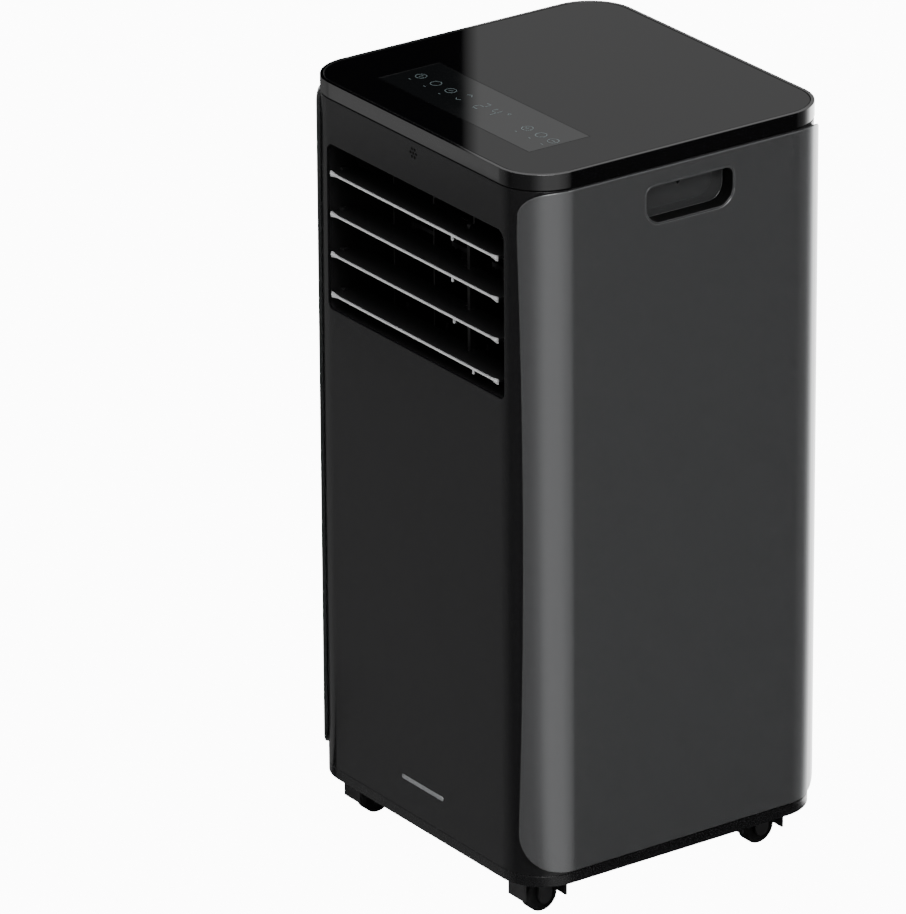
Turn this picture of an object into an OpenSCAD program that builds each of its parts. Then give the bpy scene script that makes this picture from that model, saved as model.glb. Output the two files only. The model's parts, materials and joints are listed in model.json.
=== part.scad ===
// Portable air conditioner: a tall casing on four swivel casters, with a ganged louver bank in
// the front, side panels with carrying recesses, a touch lid, and the whole cooling unit inside.
// Frame: origin on the floor under the middle, air outlet facing -Y, handles at +X and -X.

/* [Overall size] */
// Height from the floor to the top of the lid
total_h = 700; // [640:5:860]
// Width of the lid, side to side
lid_w = 340; // [330:1:420]
// Depth of the lid, front to back
lid_d = 322; // [320:1:400]
// Plan radius of the lid's corners
corner_r = 44; // [36:1:50]
// Height of the base's underside above the floor
caster_h = 40; // [40:1:60]

/* [Casing] */
// Wall of the moulded housings
wall = 2.5; // [2:0.1:3.5]
// Step of the casing in from the lid's side
casing_inset = 0.5; // [0.3:0.1:2]
// Shadow gap between lid and casing
lid_gap = 1.5; // [1:0.1:3]
// Gap between two housings at a seam
seam = 0.4; // [0.2:0.1:0.8]
// Visible height of the base tray's skirt
skirt_h = 10; // [8:1:12]
// Play between a moulding and the one it fits inside
fit_gap = 0.3; // [0.2:0.05:0.6]

/* [Lid] */
// Height of the lid
lid_t = 14; // [12:0.5:20]
// Width of the rim round the glass
rim_w = 3.5; // [3:0.5:8]
// Thickness of the glass plate
glass_t = 2; // [1.5:0.1:3]
// Width of the display region, side to side
display_w = 221; // [120:1:230]
// Depth of the display region, front to back
display_d = 63; // [40:1:90]
// Distance from the lid's front edge to the middle of the display region
display_y = 74; // [60:1:90]

/* [Side panels] */
// Stand of a side panel out from the lid's side
panel_proud = 3.5; // [2.5:0.1:5]
// Angle that a panel wraps round the corner, from the side towards the front
panel_wrap = 62; // [50:1:75]
// Depth of the waist in a panel's long edge
panel_bow = 4.1; // [2:0.1:6]
// Height of a panel's lower edge above the base's underside
panel_foot = 13.5; // [12:0.5:25]
// Radius of a panel's upper corners
panel_top_r = 25; // [15:1:30]
// Radius of a panel's lower corners
panel_foot_r = 41; // [30:1:50]

/* [Handles] */
// Width of a handle recess
handle_w = 94; // [80:1:120]
// Height of a handle recess
handle_h = 36.5; // [30:0.5:45]
// Drop of a recess's upper edge below the lid
handle_drop = 16; // [14:0.5:30]
// Middle of a recess, measured back from the middle of the casing
handle_y = 4; // [-10:1:10]
// Depth of a recess from the panel's outer face
handle_depth = 15.5; // [14:0.5:22]
// Radius of a recess's lower corners
handle_low_r = 17; // [8:1:17]
// Radius of a recess's upper corners
handle_top_r = 9; // [5:1:14]
// Wall of a handle cup
cup_wall = 1.5; // [1.2:0.1:2]

/* [Air outlet] */
// Casing left at each side of the outlet
outlet_side = 38.1; // [36:0.1:60]
// Height of the outlet
outlet_h = 154; // [140:1:170]
// Drop of the outlet's upper edge below the lid
outlet_drop = 42; // [36:1:60]
// Radius of the outlet's upper corners
outlet_top_r = 9; // [4:1:14]
// Radius of the outlet's lower corners
outlet_low_r = 6; // [4:1:14]
// Depth of the duct behind the outlet
duct_l = 76; // [74:1:90]
// Wall of the duct
duct_wall = 2.5; // [2:0.1:4]

/* [Louvers] */
// Gap between two louvers, axis to axis
louver_pitch = 37.5; // [34:0.5:38]
// Drop of the first louver's axis below the outlet's upper edge
louver_first = 28; // [20:0.5:30]
// Space between the duct's left wall and a louver
louver_left_gap = 4.4; // [3:0.1:10]
// Space between the duct's right wall and a louver
louver_right_gap = 10.4; // [3:0.1:14]
// Front to back size of a louver
louver_chord = 30; // [28:1:32]
// Thickness of a louver blade
louver_t = 2.4; // [2:0.1:3]
// Distance from a louver's nose to its axis
louver_axis = 14.5; // [12:0.5:16]
// Distance from a louver's nose to the pin that the link turns on
louver_pin = 26; // [25:0.5:27]
// Radius of a louver's trunnions
trunnion_r = 2; // [1.5:0.1:2.5]
// Height of the bright strip on a louver's nose
trim_h = 1.6; // [1.2:0.1:2]
// Height of the bright strip's flared ends
flare_h = 5; // [3:0.5:6]
// Place of each finger tab across the outlet
tab_x = [55, 55, 57, 85];
// Chord of an inner vane
vane_chord = 28; // [24:1:30]
// Thickness of an inner vane
vane_t = 1.6; // [1.2:0.1:2]
// Gap between two inner vanes
vane_pitch = 60; // [50:1:66]
// Radius of the link and vane pins
pin_r = 1.5; // [1.2:0.1:1.8]
// Radial play of a pin in its hole
pin_play = 0.1; // [0.05:0.01:0.1]

/* [Rear] */
// Width of an intake grille
grille_w = 244; // [200:1:246]
// Border of a grille round its slots
grille_rim = 10; // [8:1:14]
// Pitch of the grille bars
bar_pitch = 7; // [6:0.5:10]
// Height of one grille bar
bar_h = 3.2; // [2.5:0.1:4]
// Inner radius of the exhaust collar
exhaust_r = 71; // [60:1:71]
// Wall of the exhaust collar
collar_wall = 3; // [2:0.1:4]
// Bore radius of a drain spout
drain_r = 5; // [4:0.1:6]

/* [Cooling unit] */
// Outer radius of the blower wheel
blower_r = 75; // [70:1:75]
// Width of the blower wheel
blower_w = 200; // [160:1:204]
// Outer radius of the exhaust wheel
fan_r = 52; // [45:1:52]
// Width of the exhaust wheel
fan_w = 116; // [100:1:118]
// Radius of the compressor shell
comp_r = 56; // [50:1:58]
// Height of the compressor shell
comp_h = 205; // [180:1:215]
// Thickness of a heat exchanger
coil_t = 24; // [20:1:26]

/* [Casters] */
// Radius of a caster wheel
wheel_r = 16; // [14:0.5:17]
// Width of a caster wheel
wheel_w = 14; // [12:0.5:16]
// Offset of a wheel's axle in front of the swivel stem
trail = 3.5; // [3:0.5:8]
// Place of the swivel stems in from the casing's sides
stem_in_x = 44; // [42:1:60]
// Place of the swivel stems in from the casing's front and back
stem_in_y = 42.5; // [42:0.5:60]
// Radius of a swivel stem
stem_r = 4; // [3.5:0.1:5]

/* [Hidden] */
$fn = 96;
eps = 0.01;
far = 400;

// Lid and casing
lid_hx = lid_w / 2;
lid_hy = lid_d / 2;
lid_z = total_h - lid_t;
case_hx = lid_hx - casing_inset;
case_hy = lid_hy - casing_inset;
case_r = corner_r - casing_inset;
in_hx = case_hx - wall;
in_hy = case_hy - wall;
in_r = case_r - wall;
case_z0 = caster_h + skirt_h + seam;
pinhole_ring = 4;
pinhole_r = 1.1;
case_z1 = lid_z - lid_gap;
floor_t = 3;
floor_z = caster_h + floor_t;
rim_drop = 7.5;
glass_z = total_h - 0.2 - glass_t;
lid_floor = 2.5;
lens_t = 0.8;

// Side panels
panel_gap = 0.2;
panel_hx = lid_hx + panel_proud;
panel_hy = lid_hy + panel_proud;
panel_r = corner_r + panel_proud;
panel_z0 = caster_h + panel_foot;
panel_edge = panel_hx - panel_r + panel_r * cos(panel_wrap);
panel_mid = (panel_z0 + case_z1) / 2;
panel_half = (case_z1 - panel_z0) / 2 - panel_foot_r;
bow_r = (panel_half * panel_half + panel_bow * panel_bow) / (2 * panel_bow);

// Handle recesses
handle_z1 = lid_z - handle_drop;
handle_z0 = handle_z1 - handle_h;
cup_gap = 0.15;
cup_lip = 0.3;
finger_h = 5;
finger_w = handle_w - 2 * handle_top_r;
cup_x1 = panel_hx - cup_lip;
cup_x0 = panel_hx - handle_depth;

// Air outlet and louvers
outlet_hx = case_hx - outlet_side;
outlet_z1 = lid_z - outlet_drop;
outlet_z0 = outlet_z1 - outlet_h;
duct_y0 = -in_hy + panel_gap;
duct_y1 = duct_y0 + duct_l;
duct_hx = outlet_hx + duct_wall;
nose_y = -case_hy + 0.2;
axis_y = nose_y + louver_axis;
louver_pin_y = nose_y + louver_pin;
louver_x0 = -outlet_hx + louver_left_gap;
louver_x1 = outlet_hx - louver_right_gap;
trim_d = 2;
flare_l = 10;
notch_hw = 5;
notch_l = 6;
link_x = 48;
link_t = 4;
link_hw = 3.2;
motor_play = 0.2;
swing_motor_r = 12;
swing_motor_l = 11;
swing_shift = 8;
louver_n = 4;
vane_n = 4;
vane_axis_y = duct_y1 - 9 - vane_chord / 2;
vane_pin_y = vane_axis_y + vane_chord / 2 - 4;
vane_link_z = outlet_z0 + outlet_h / 2;
vane_end = 2;
vane_pin_l = 4;

// Decks and the blower above them
deck_t = 4;
deck_z = outlet_z0 - 66;
scroll_gap = 15;
scroll_t = 2;
blower_z = deck_z + 124;
blower_y = duct_y1 + blower_r + scroll_gap + 4;
blower_case = blower_w / 2 + 10;
shaft_r = 4;
shaft_play = 0.1;
inlet_r = blower_r - 15;
blower_motor_r = 42;
blower_motor_l = 38;
flange_w = 5;
fan_z = deck_z - deck_t - exhaust_r - collar_wall - flange_w - 1;
fan_gap = 12;
fan_case = fan_w / 2 + 10;
fan_motor_r = 34;
fan_motor_l = 38;

// Rear openings
upper_grille_z0 = deck_z + 22;
upper_grille_h = case_z1 - 24 - upper_grille_z0;
lower_grille_z0 = caster_h + 42;
lower_grille_h = fan_z - fan_r - fan_gap - 2 - 24 - lower_grille_z0;
grille_t = 3;
grille_play = 0.6;
cassette_d = 9;
filter_t = 4;
coil_w = grille_w - 22;
coil_y1 = in_hy - 22;
coil_y0 = coil_y1 - coil_t;
collar_l = 42;
guard_t = 3;
stop_w = 2;
fan_y = case_hy - collar_l - fan_r - fan_gap - scroll_t - 1.2;
drain_head_r = 10;
drain_head_t = 6;
drain_head_y = case_hy - 0.2 - drain_head_t;
upper_drain_x = -88;
upper_drain_z = deck_z + 10;
lower_drain_x = 96;
low_port_z = caster_h + 26;
gland_x = -100;
gland_r = 11;
gland_flange_t = 3.2;
cord_r = 4.2;
spout_wall = 2;

// Screws that hold the rear housing to the base tray, the deck and the lid
screw_x = 60;
screw_z = [caster_h + 16, deck_z + 10, case_z1 - 4.2];
screw_head_r = 3.4;
screw_head_t = 1.5;
screw_shank_r = 1.5;
screw_l = 14;
boss_r = 4.5;

// Compressor group
comp_x = 75;
comp_y = -in_hy + 88;
comp_z = floor_z + 18;
foot_angles = [30, 150, 270];
foot_r = 9;
accu_r = 24;
accu_h = 140;
accu_x = comp_x - comp_r - accu_r - 5;
accu_z = comp_z + 45;
sling_r = 26;
sling_x = -64;
sling_y = coil_y0 - sling_r - 14;
sling_z = floor_z + sling_r + 4;

// Casters
stem_x = case_hx - stem_in_x;
stem_y = case_hy - stem_in_y;
stem_l = 20;
yoke_top = caster_h - 0.5;
yoke_t = 4;
yoke_w = 24;
yoke_front = 24;
yoke_back = 22;
cheek_t = 2.4;
cheek_r = 7;
axle_r = 2.5;
socket_r = 9;

// Rounded rectangle made of true arcs
module rounded(hx, hy, r) {
    square([2 * hx, 2 * (hy - r)], center = true);
    square([2 * (hx - r), 2 * hy], center = true);
    for (sx = [-1, 1], sy = [-1, 1])
        translate([sx * (hx - r), sy * (hy - r)])
            circle(r);
}

// Rectangle with one radius for its lower corners and one for its upper ones
module window(x0, x1, z0, z1, low_r, top_r) {
    translate([x0 + low_r, z0])
        square([x1 - x0 - 2 * low_r, z1 - z0]);
    translate([x0 + top_r, z0 + low_r])
        square([x1 - x0 - 2 * top_r, z1 - z0 - low_r]);
    translate([x0, z0 + low_r])
        square([x1 - x0, z1 - z0 - low_r - top_r]);
    for (x = [x0 + low_r, x1 - low_r])
        translate([x, z0 + low_r])
            circle(low_r);
    for (x = [x0 + top_r, x1 - top_r])
        translate([x, z1 - top_r])
            circle(top_r);
}

// Prism between two heights
module prism(z0, z1) {
    translate([0, 0, z0])
        linear_extrude(z1 - z0)
            children();
}

// Prism of an X-Z outline, between two places along Y
module front_prism(y0, y1) {
    translate([0, y1, 0])
        rotate([90, 0, 0])
            linear_extrude(y1 - y0)
                children();
}

// Prism of a Y-Z outline, between two places along X
module side_prism(x0, x1) {
    translate([x0, 0, 0])
        rotate([90, 0, 90])
            linear_extrude(x1 - x0)
                children();
}

// Box from its two corners
module box(a, b) {
    translate(a)
        cube(b - a);
}

// Round bar along X, Y or Z
module bar_x(x0, x1, y, z, r) {
    translate([x0, y, z])
        rotate([0, 90, 0])
            cylinder(h = x1 - x0, r = r);
}

module bar_y(x, y0, y1, z, r) {
    translate([x, y1, z])
        rotate([90, 0, 0])
            cylinder(h = y1 - y0, r = r);
}

module bar_z(x, y, z0, z1, r) {
    translate([x, y, z0])
        cylinder(h = z1 - z0, r = r);
}

// Tube through a list of points joined by square bends of radius b
module pipe(points, r, b = 12) {
    last = len(points) - 2;
    for (i = [0 : last]) {
        v = points[i + 1] - points[i];
        d = v / norm(v);
        start = i == 0 ? 0 : b;
        translate(points[i] + start * d)
            rotate([0, acos(d.z), atan2(d.y, d.x)])
                cylinder(h = norm(v) - start - (i == last ? 0 : b), r = r, $fn = 32);
        if (i < last) {
            e = (points[i + 2] - points[i + 1]) / norm(points[i + 2] - points[i + 1]);
            n = cross(d, e);
            c = points[i + 1] + b * (e - d);
            multmatrix([[-e.x, d.x, n.x, c.x], [-e.y, d.y, n.y, c.y], [-e.z, d.z, n.z, c.z]])
                rotate_extrude(angle = 90, $fn = 64)
                    translate([b, 0])
                        circle(r, $fn = 32);
        }
    }
}

// What the two columns of casing screws need, at each height in zs
module at_screws(zs) {
    for (sx = [-1, 1], z = zs)
        translate([sx * screw_x, 0, z])
            children();
}

// Outline of the air outlet, grown by g
module outlet_shape(g = 0) {
    window(-outlet_hx - g, outlet_hx + g, outlet_z0 - g, outlet_z1 + g,
        outlet_low_r + g, outlet_top_r + g);
}

// Outline of a handle recess in the Y-Z plane, grown by g
module handle_shape(g = 0) {
    window(handle_y - handle_w / 2 - g, handle_y + handle_w / 2 + g, handle_z0 - g,
        handle_z1 + g, handle_low_r + g, handle_top_r + g);
}

// Room for the fingers above the recess, behind the panel, grown by g
module finger_shape(g = 0) {
    translate([handle_y - finger_w / 2 - g, handle_z1 - handle_top_r - g])
        square([finger_w + 2 * g, handle_top_r + finger_h + 2 * g]);
}

// One ring of the casing's wall
module casing_wall(z0, z1) {
    prism(z0, z1)
        difference() {
            rounded(case_hx, case_hy, case_r);
            rounded(in_hx, in_hy, in_r);
        }
}

// Hole through both sides of the casing for the handle cups
module cup_holes() {
    side_prism(-far, far)
        handle_shape(fit_gap);
    side_prism(-far, far)
        finger_shape(cup_wall + fit_gap);
}

// Tray that carries everything: floor, skirt, upstand, caster sockets and the low drain
module base_tray() {
    color("#141416")
        difference() {
            union() {
                prism(caster_h, floor_z)
                    rounded(case_hx, case_hy, case_r);
                casing_wall(caster_h, caster_h + skirt_h);
                prism(caster_h, caster_h + skirt_h + 12)
                    difference() {
                        rounded(in_hx - fit_gap, in_hy - fit_gap, in_r - fit_gap);
                        rounded(in_hx - fit_gap - wall, in_hy - fit_gap - wall,
                            in_r - fit_gap - wall);
                    }
                prism(caster_h, caster_h + skirt_h)
                    difference() {
                        rounded(in_hx + eps, in_hy + eps, in_r + eps);
                        rounded(in_hx - wall, in_hy - wall, in_r - wall);
                    }
                for (sx = [-1, 1], sy = [-1, 1])
                    bar_z(sx * stem_x, sy * stem_y, caster_h, caster_h + stem_l + 4, socket_r);
                bar_y(lower_drain_x, in_hy - 14, drain_head_y, low_port_z, drain_r + spout_wall);
                box([lower_drain_x - drain_r, in_hy - 14, floor_z - eps],
                    [lower_drain_x + drain_r, in_hy - 4, low_port_z]);
                at_screws([screw_z[0]])
                    bar_y(0, in_hy - 12, in_hy - fit_gap, 0, boss_r, $fn = 32);
            }
            at_screws([screw_z[0]])
                bar_y(0, 0, far, 0, screw_shank_r + pin_play, $fn = 32);
            for (sx = [-1, 1], sy = [-1, 1])
                bar_z(sx * stem_x, sy * stem_y, caster_h - 1, caster_h + stem_l + 1,
                    stem_r + pin_play);
            bar_y(lower_drain_x, in_hy - 20, case_hy, low_port_z, drain_r);
            bar_y(lower_drain_x, drain_head_y, case_hy, low_port_z, drain_head_r + 0.6);
            bar_y(gland_x, in_hy - 30, case_hy, low_port_z, gland_r + fit_gap);
        }
}

// Front half of the casing, with the outlet and the receiver's pinholes
module front_housing() {
    color("#1b1b1d")
        difference() {
            casing_wall(case_z0, case_z1);
            box([-far, -seam / 2, 0], [far, far, total_h]);
            front_prism(-far, 0)
                outlet_shape();
            cup_holes();
            for (a = [0 : 60 : 359])
                bar_y(pinhole_ring * cos(a), -far, -in_hy + 1, lid_z - 12 + pinhole_ring * sin(a),
                    pinhole_r, $fn = 24);
            bar_y(0, -far, -in_hy + 1, lid_z - 12, pinhole_r, $fn = 24);
        }
}

// Rear half of the casing, with the intakes, exhaust, drains, cord entry and screw holes
module rear_housing() {
    color("#1b1b1d")
        difference() {
            casing_wall(case_z0, case_z1);
            box([-far, -far, 0], [far, seam / 2, total_h]);
            cup_holes();
            box([-grille_w / 2 - grille_play, 0, upper_grille_z0 - grille_play],
                [grille_w / 2 + grille_play, far,
                    upper_grille_z0 + upper_grille_h + grille_play]);
            box([-grille_w / 2 - grille_play, 0, lower_grille_z0 - grille_play],
                [grille_w / 2 + grille_play, far,
                    lower_grille_z0 + lower_grille_h + grille_play]);
            bar_y(0, 0, far, fan_z, exhaust_r + collar_wall + fit_gap);
            bar_y(upper_drain_x, 0, far, upper_drain_z, drain_head_r + 0.6);
            bar_y(lower_drain_x, 0, far, low_port_z, drain_head_r + 0.6);
            bar_y(gland_x, 0, far, low_port_z, gland_r + fit_gap);
            at_screws(screw_z) {
                bar_y(0, 0, far, 0, screw_shank_r + pin_play, $fn = 32);
                bar_y(0, case_hy - screw_head_t - 0.2, far, 0, screw_head_r + 0.2, $fn = 32);
            }
        }
}

// Outline of a side panel seen from the front: waisted edge, small upper and large lower corner
module panel_outline() {
    foot_x = panel_edge + panel_foot_r;
    foot_z = panel_z0 + sqrt(panel_foot_r * panel_foot_r - pow(foot_x - panel_hx, 2));
    top_z = case_z1 - panel_top_r;
    difference() {
        union() {
            translate([foot_x, foot_z])
                circle(panel_foot_r);
            translate([panel_edge, foot_z])
                square([far, top_z - foot_z]);
            translate([panel_edge + panel_top_r, top_z - eps])
                square([far, panel_top_r + eps]);
            translate([panel_edge + panel_top_r, top_z])
                circle(panel_top_r);
        }
        translate([panel_edge + panel_bow - bow_r, panel_mid])
            circle(bow_r, $fn = 1440);
    }
}

// Side panel: a shell that wraps both corners of its side, with the handle opening
module side_panel(side) {
    color("#3c3d40")
        difference() {
            intersection() {
                prism(panel_z0 - 1, case_z1 + 1)
                    difference() {
                        rounded(panel_hx, panel_hy, panel_r);
                        rounded(case_hx + panel_gap, case_hy + panel_gap, case_r + panel_gap);
                    }
                front_prism(-far, far)
                    mirror([side < 0 ? 1 : 0, 0])
                        panel_outline();
            }
            side_prism(-far, far)
                handle_shape();
        }
}

// Cup behind a handle opening, with room for the fingers over its mouth
module handle_cup(side) {
    color("#343538")
        mirror([side < 0 ? 1 : 0, 0, 0])
            difference() {
                union() {
                    side_prism(cup_x0 - cup_wall, cup_x1)
                        handle_shape(-cup_gap);
                    side_prism(cup_x0 - cup_wall, case_hx - wall - fit_gap)
                        finger_shape(cup_wall);
                }
                side_prism(cup_x0, far)
                    handle_shape(-cup_gap - cup_wall);
                side_prism(cup_x0, case_hx - wall - fit_gap - cup_wall)
                    finger_shape();
                side_prism(cup_x0 - cup_wall - 1, cup_x0 + 1)
                    polygon([[handle_y - 1.5, handle_z1 - 12], [handle_y + 9.5, handle_z1 + 1],
                        [handle_y - 12.5, handle_z1 + 1]]);
            }
}

// Lid frame: skirt, rim, pocket for the glass and the ring that drops inside the casing
module top_cover() {
    lid_wall = 3.6;
    ring_t = 2;
    post_x = display_w / 2 - 8;
    post_y = display_d / 2 - 2;
    color("#202023")
        difference() {
            union() {
                prism(lid_z, total_h)
                    rounded(lid_hx, lid_hy, corner_r);
                prism(case_z1 - rim_drop, lid_z + 1)
                    rounded(in_hx - fit_gap, in_hy - fit_gap, in_r - fit_gap);
            }
            prism(case_z1 - rim_drop - 1, glass_z - lid_floor)
                difference() {
                    rounded(in_hx - fit_gap - ring_t, in_hy - fit_gap - ring_t,
                        in_r - fit_gap - ring_t);
                    for (sx = [-1, 1], sy = [-1, 1])
                        translate([sx * post_x, -lid_hy + display_y + sy * post_y])
                            circle(3, $fn = 32);
                }
            prism(case_z1 - rim_drop - 2, lid_z + 3.1)
                rounded(in_hx - fit_gap - ring_t, in_hy - fit_gap - ring_t,
                    in_r - fit_gap - ring_t);
            prism(glass_z, total_h + 1)
                rounded(lid_hx - rim_w, lid_hy - rim_w, corner_r - rim_w);
            translate([0, -lid_hy + display_y, 0])
                prism(lid_z, total_h)
                    square([display_w - 30, display_d - 14], center = true);
            at_screws([screw_z[2]])
                bar_y(0, 0, far, 0, screw_shank_r + pin_play, $fn = 32);
        }
    color("#202023")
        at_screws([screw_z[2]])
            difference() {
                box([-5, in_hy - 12, -3.2], [5, in_hy - 2, lid_z - screw_z[2] + 3]);
                bar_y(0, 0, far, 0, screw_shank_r + pin_play, $fn = 32);
            }
}

// Glass plate with a shallow bed for the display lens
module top_glass() {
    edge = rim_w + fit_gap + 0.2;
    color("#0b0b0d")
        difference() {
            prism(glass_z, glass_z + glass_t)
                rounded(lid_hx - edge, lid_hy - edge, corner_r - edge);
            translate([0, -lid_hy + display_y, 0])
                prism(glass_z + glass_t - lens_t, total_h + 1)
                    square([display_w + 0.2, display_d + 0.2], center = true);
        }
}

// Tinted lens over the touch keys and the figures
module display_lens() {
    color("#2e3032")
        translate([0, -lid_hy + display_y, 0])
            prism(glass_z + glass_t - lens_t, glass_z + glass_t)
                square([display_w, display_d], center = true);
}

// Circuit board under the lens, with its touch springs and figure block
module control_board() {
    board_z = lid_z + 1.5;
    board_t = 1.6;
    pad_h = glass_z - lid_floor - board_z - board_t - 0.4;
    color("#1f4a34")
        translate([0, -lid_hy + display_y, 0]) {
            prism(board_z, board_z + board_t)
                square([display_w - 4, display_d + 6], center = true);
            for (i = [-3 : 3])
                if (i != 0)
                    bar_z(i * 26, -display_d / 2 + 14, board_z + board_t - eps,
                        board_z + board_t + pad_h, 4, $fn = 32);
            box([-24, 4, board_z + board_t - eps], [24, 22, board_z + board_t + pad_h]);
        }
}

// Screws that close the rear housing
module casing_screws() {
    color("#3a3a3c")
        at_screws(screw_z)
            difference() {
                union() {
                    bar_y(0, case_hy - screw_head_t - 0.1, case_hy - 0.1, 0, screw_head_r,
                        $fn = 32);
                    bar_y(0, case_hy - screw_l, case_hy - screw_head_t, 0, screw_shank_r,
                        $fn = 32);
                }
                for (a = [0, 90])
                    translate([0, case_hy, 0])
                        rotate([0, a, 0])
                            cube([4, 2, 0.8], center = true);
            }
}

// Plate between the cold section and the hot one, with a pipe notch and two screw tabs
module mid_deck() {
    color("#c9c9c4")
        difference() {
            union() {
                prism(deck_z - deck_t, deck_z)
                    rounded(in_hx - 0.5, in_hy - 0.5, in_r - 0.5);
                at_screws([screw_z[1]])
                    box([-8, in_hy - 11, deck_z - screw_z[1] - eps], [8, in_hy - 1, 8]);
            }
            at_screws([screw_z[1]])
                bar_y(0, 0, far, 0, screw_shank_r + pin_play, $fn = 32);
            box([-in_hx + 16, coil_y0 - 20, 0], [-coil_w / 2 - 6, coil_y1, total_h]);
        }
}

// Duct from the blower to the outlet, drilled for the louvers and the vanes
module outlet_duct() {
    frame_t = 2;
    color("#0c0c0e")
        difference() {
            intersection() {
                front_prism(-far, duct_y1)
                    outlet_shape(duct_wall);
                prism(0, total_h)
                    rounded(in_hx - panel_gap, in_hy - panel_gap, in_r - panel_gap);
            }
            front_prism(-far, duct_y1 - frame_t)
                outlet_shape();
            box([-blower_case + scroll_t, -far, outlet_z0 + 1],
                [blower_case - scroll_t, far, outlet_z1 - 1]);
            for (i = [0 : louver_n - 1])
                bar_x(-far, far, axis_y, outlet_z1 - louver_first - i * louver_pitch,
                    trunnion_r + pin_play, $fn = 32);
            for (i = [0 : vane_n - 1])
                bar_z((i - (vane_n - 1) / 2) * vane_pitch, vane_axis_y, 0, total_h,
                    pin_r + pin_play, $fn = 32);
        }
}

// Louver blade with its trunnions and the pin for the link
module louver(i) {
    z = outlet_z1 - louver_first - i * louver_pitch;
    y1 = nose_y + louver_chord;
    right_end = i == 0 ? duct_hx + 5 : duct_hx - 0.4;
    color("#0e0e10") {
        difference() {
            union() {
                box([louver_x0, nose_y + trim_d, z - louver_t / 2],
                    [louver_x1, y1 - louver_t / 2, z + louver_t / 2]);
                bar_x(louver_x0, louver_x1, y1 - louver_t / 2, z, louver_t / 2, $fn = 32);
                for (x = [louver_x0, louver_x1 - 3])
                    bar_x(x, x + 3, axis_y, z, trunnion_r + 1.6, $fn = 32);
            }
            box([link_x - notch_hw, louver_pin_y - notch_l, z - louver_t],
                [link_x + notch_hw, y1 + 1, z + louver_t]);
        }
        bar_x(-duct_hx + 0.4, louver_x0 + eps, axis_y, z, trunnion_r, $fn = 32);
        bar_x(louver_x1 - eps, right_end, axis_y, z, trunnion_r, $fn = 32);
        bar_x(link_x - notch_hw - eps, link_x + notch_hw + eps, louver_pin_y, z, pin_r,
            $fn = 32);
    }
}

// Bright strip on a louver's nose, flared at both ends, with the finger tab
module louver_trim(i) {
    z = outlet_z1 - louver_first - i * louver_pitch;
    tab_h = 4.5;
    color("#e6e8ea") {
        front_prism(nose_y + 0.6, nose_y + trim_d)
            difference() {
                translate([louver_x0, z - flare_h / 2])
                    square([louver_x1 - louver_x0, flare_h]);
                for (s = [-1, 1])
                    polygon([[louver_x0 - eps, z + s * (flare_h / 2 + eps)],
                        [louver_x0 + flare_l, z + s * trim_h / 2],
                        [louver_x1 - flare_l, z + s * trim_h / 2],
                        [louver_x1 + eps, z + s * (flare_h / 2 + eps)]]);
            }
        bar_x(louver_x0, louver_x1, nose_y + trim_h / 2, z, trim_h / 2, $fn = 32);
        box([tab_x[i] - 1, nose_y + 0.6, z - tab_h], [tab_x[i] + 1, nose_y + trim_d, z]);
    }
}

// Bar that keeps the louvers parallel
module louver_link() {
    z1 = outlet_z1 - louver_first;
    z0 = z1 - (louver_n - 1) * louver_pitch;
    color("#151517")
        difference() {
            side_prism(link_x - link_t / 2, link_x + link_t / 2)
                union() {
                    translate([louver_pin_y - link_hw, z0])
                        square([2 * link_hw, z1 - z0]);
                    for (z = [z0, z1])
                        translate([louver_pin_y, z])
                            circle(link_hw, $fn = 32);
                }
            for (i = [0 : louver_n - 1])
                bar_x(0, far, louver_pin_y, z1 - i * louver_pitch, pin_r + pin_play, $fn = 32);
        }
}

// Geared motor that turns the first louver
module swing_motor() {
    z = outlet_z1 - louver_first;
    x0 = duct_hx + motor_play;
    color("#d8d8d2")
        difference() {
            union() {
                bar_x(x0, x0 + swing_motor_l, axis_y + swing_shift, z, swing_motor_r);
                bar_x(x0, x0 + 2, axis_y + swing_shift + 8, z + 13, 4.5, $fn = 32);
                bar_x(x0, x0 + 2, axis_y + swing_shift + 8, z - 13, 4.5, $fn = 32);
            }
            bar_x(0, x0 + 7, axis_y, z, trunnion_r + pin_play, $fn = 32);
        }
}

// Upright vane inside the duct
module vane(i) {
    x = (i - (vane_n - 1) / 2) * vane_pitch;
    z0 = outlet_z0 + vane_end;
    z1 = outlet_z1 - vane_end;
    y1 = vane_axis_y + vane_chord / 2;
    color("#111113") {
        difference() {
            union() {
                box([x - vane_t / 2, y1 - vane_chord, z0], [x + vane_t / 2, y1, z1]);
                bar_z(x, vane_axis_y, z0, z0 + 4, pin_r + 1, $fn = 32);
                bar_z(x, vane_axis_y, z1 - 4, z1, pin_r + 1, $fn = 32);
            }
            box([x - far, vane_pin_y - notch_l, vane_link_z - notch_hw],
                [x + far, y1 + 1, vane_link_z + notch_hw]);
        }
        bar_z(x, vane_axis_y, z0 - vane_pin_l, z0 + eps, pin_r, $fn = 32);
        bar_z(x, vane_axis_y, z1 - eps, z1 + vane_pin_l, pin_r, $fn = 32);
        bar_z(x, vane_pin_y, vane_link_z - notch_hw - eps, vane_link_z + notch_hw + eps,
            pin_r, $fn = 32);
    }
}

// Bar that keeps the vanes parallel
module vane_link() {
    half = (vane_n - 1) / 2 * vane_pitch;
    color("#151517")
        difference() {
            prism(vane_link_z - link_t / 2, vane_link_z + link_t / 2)
                union() {
                    translate([-half, vane_pin_y - link_hw])
                        square([2 * half, 2 * link_hw]);
                    for (x = [-half, half])
                        translate([x, vane_pin_y])
                            circle(link_hw, $fn = 32);
                }
            for (i = [0 : vane_n - 1])
                bar_z(i * vane_pitch - half, vane_pin_y, 0, total_h, pin_r + pin_play,
                    $fn = 32);
        }
}

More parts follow.
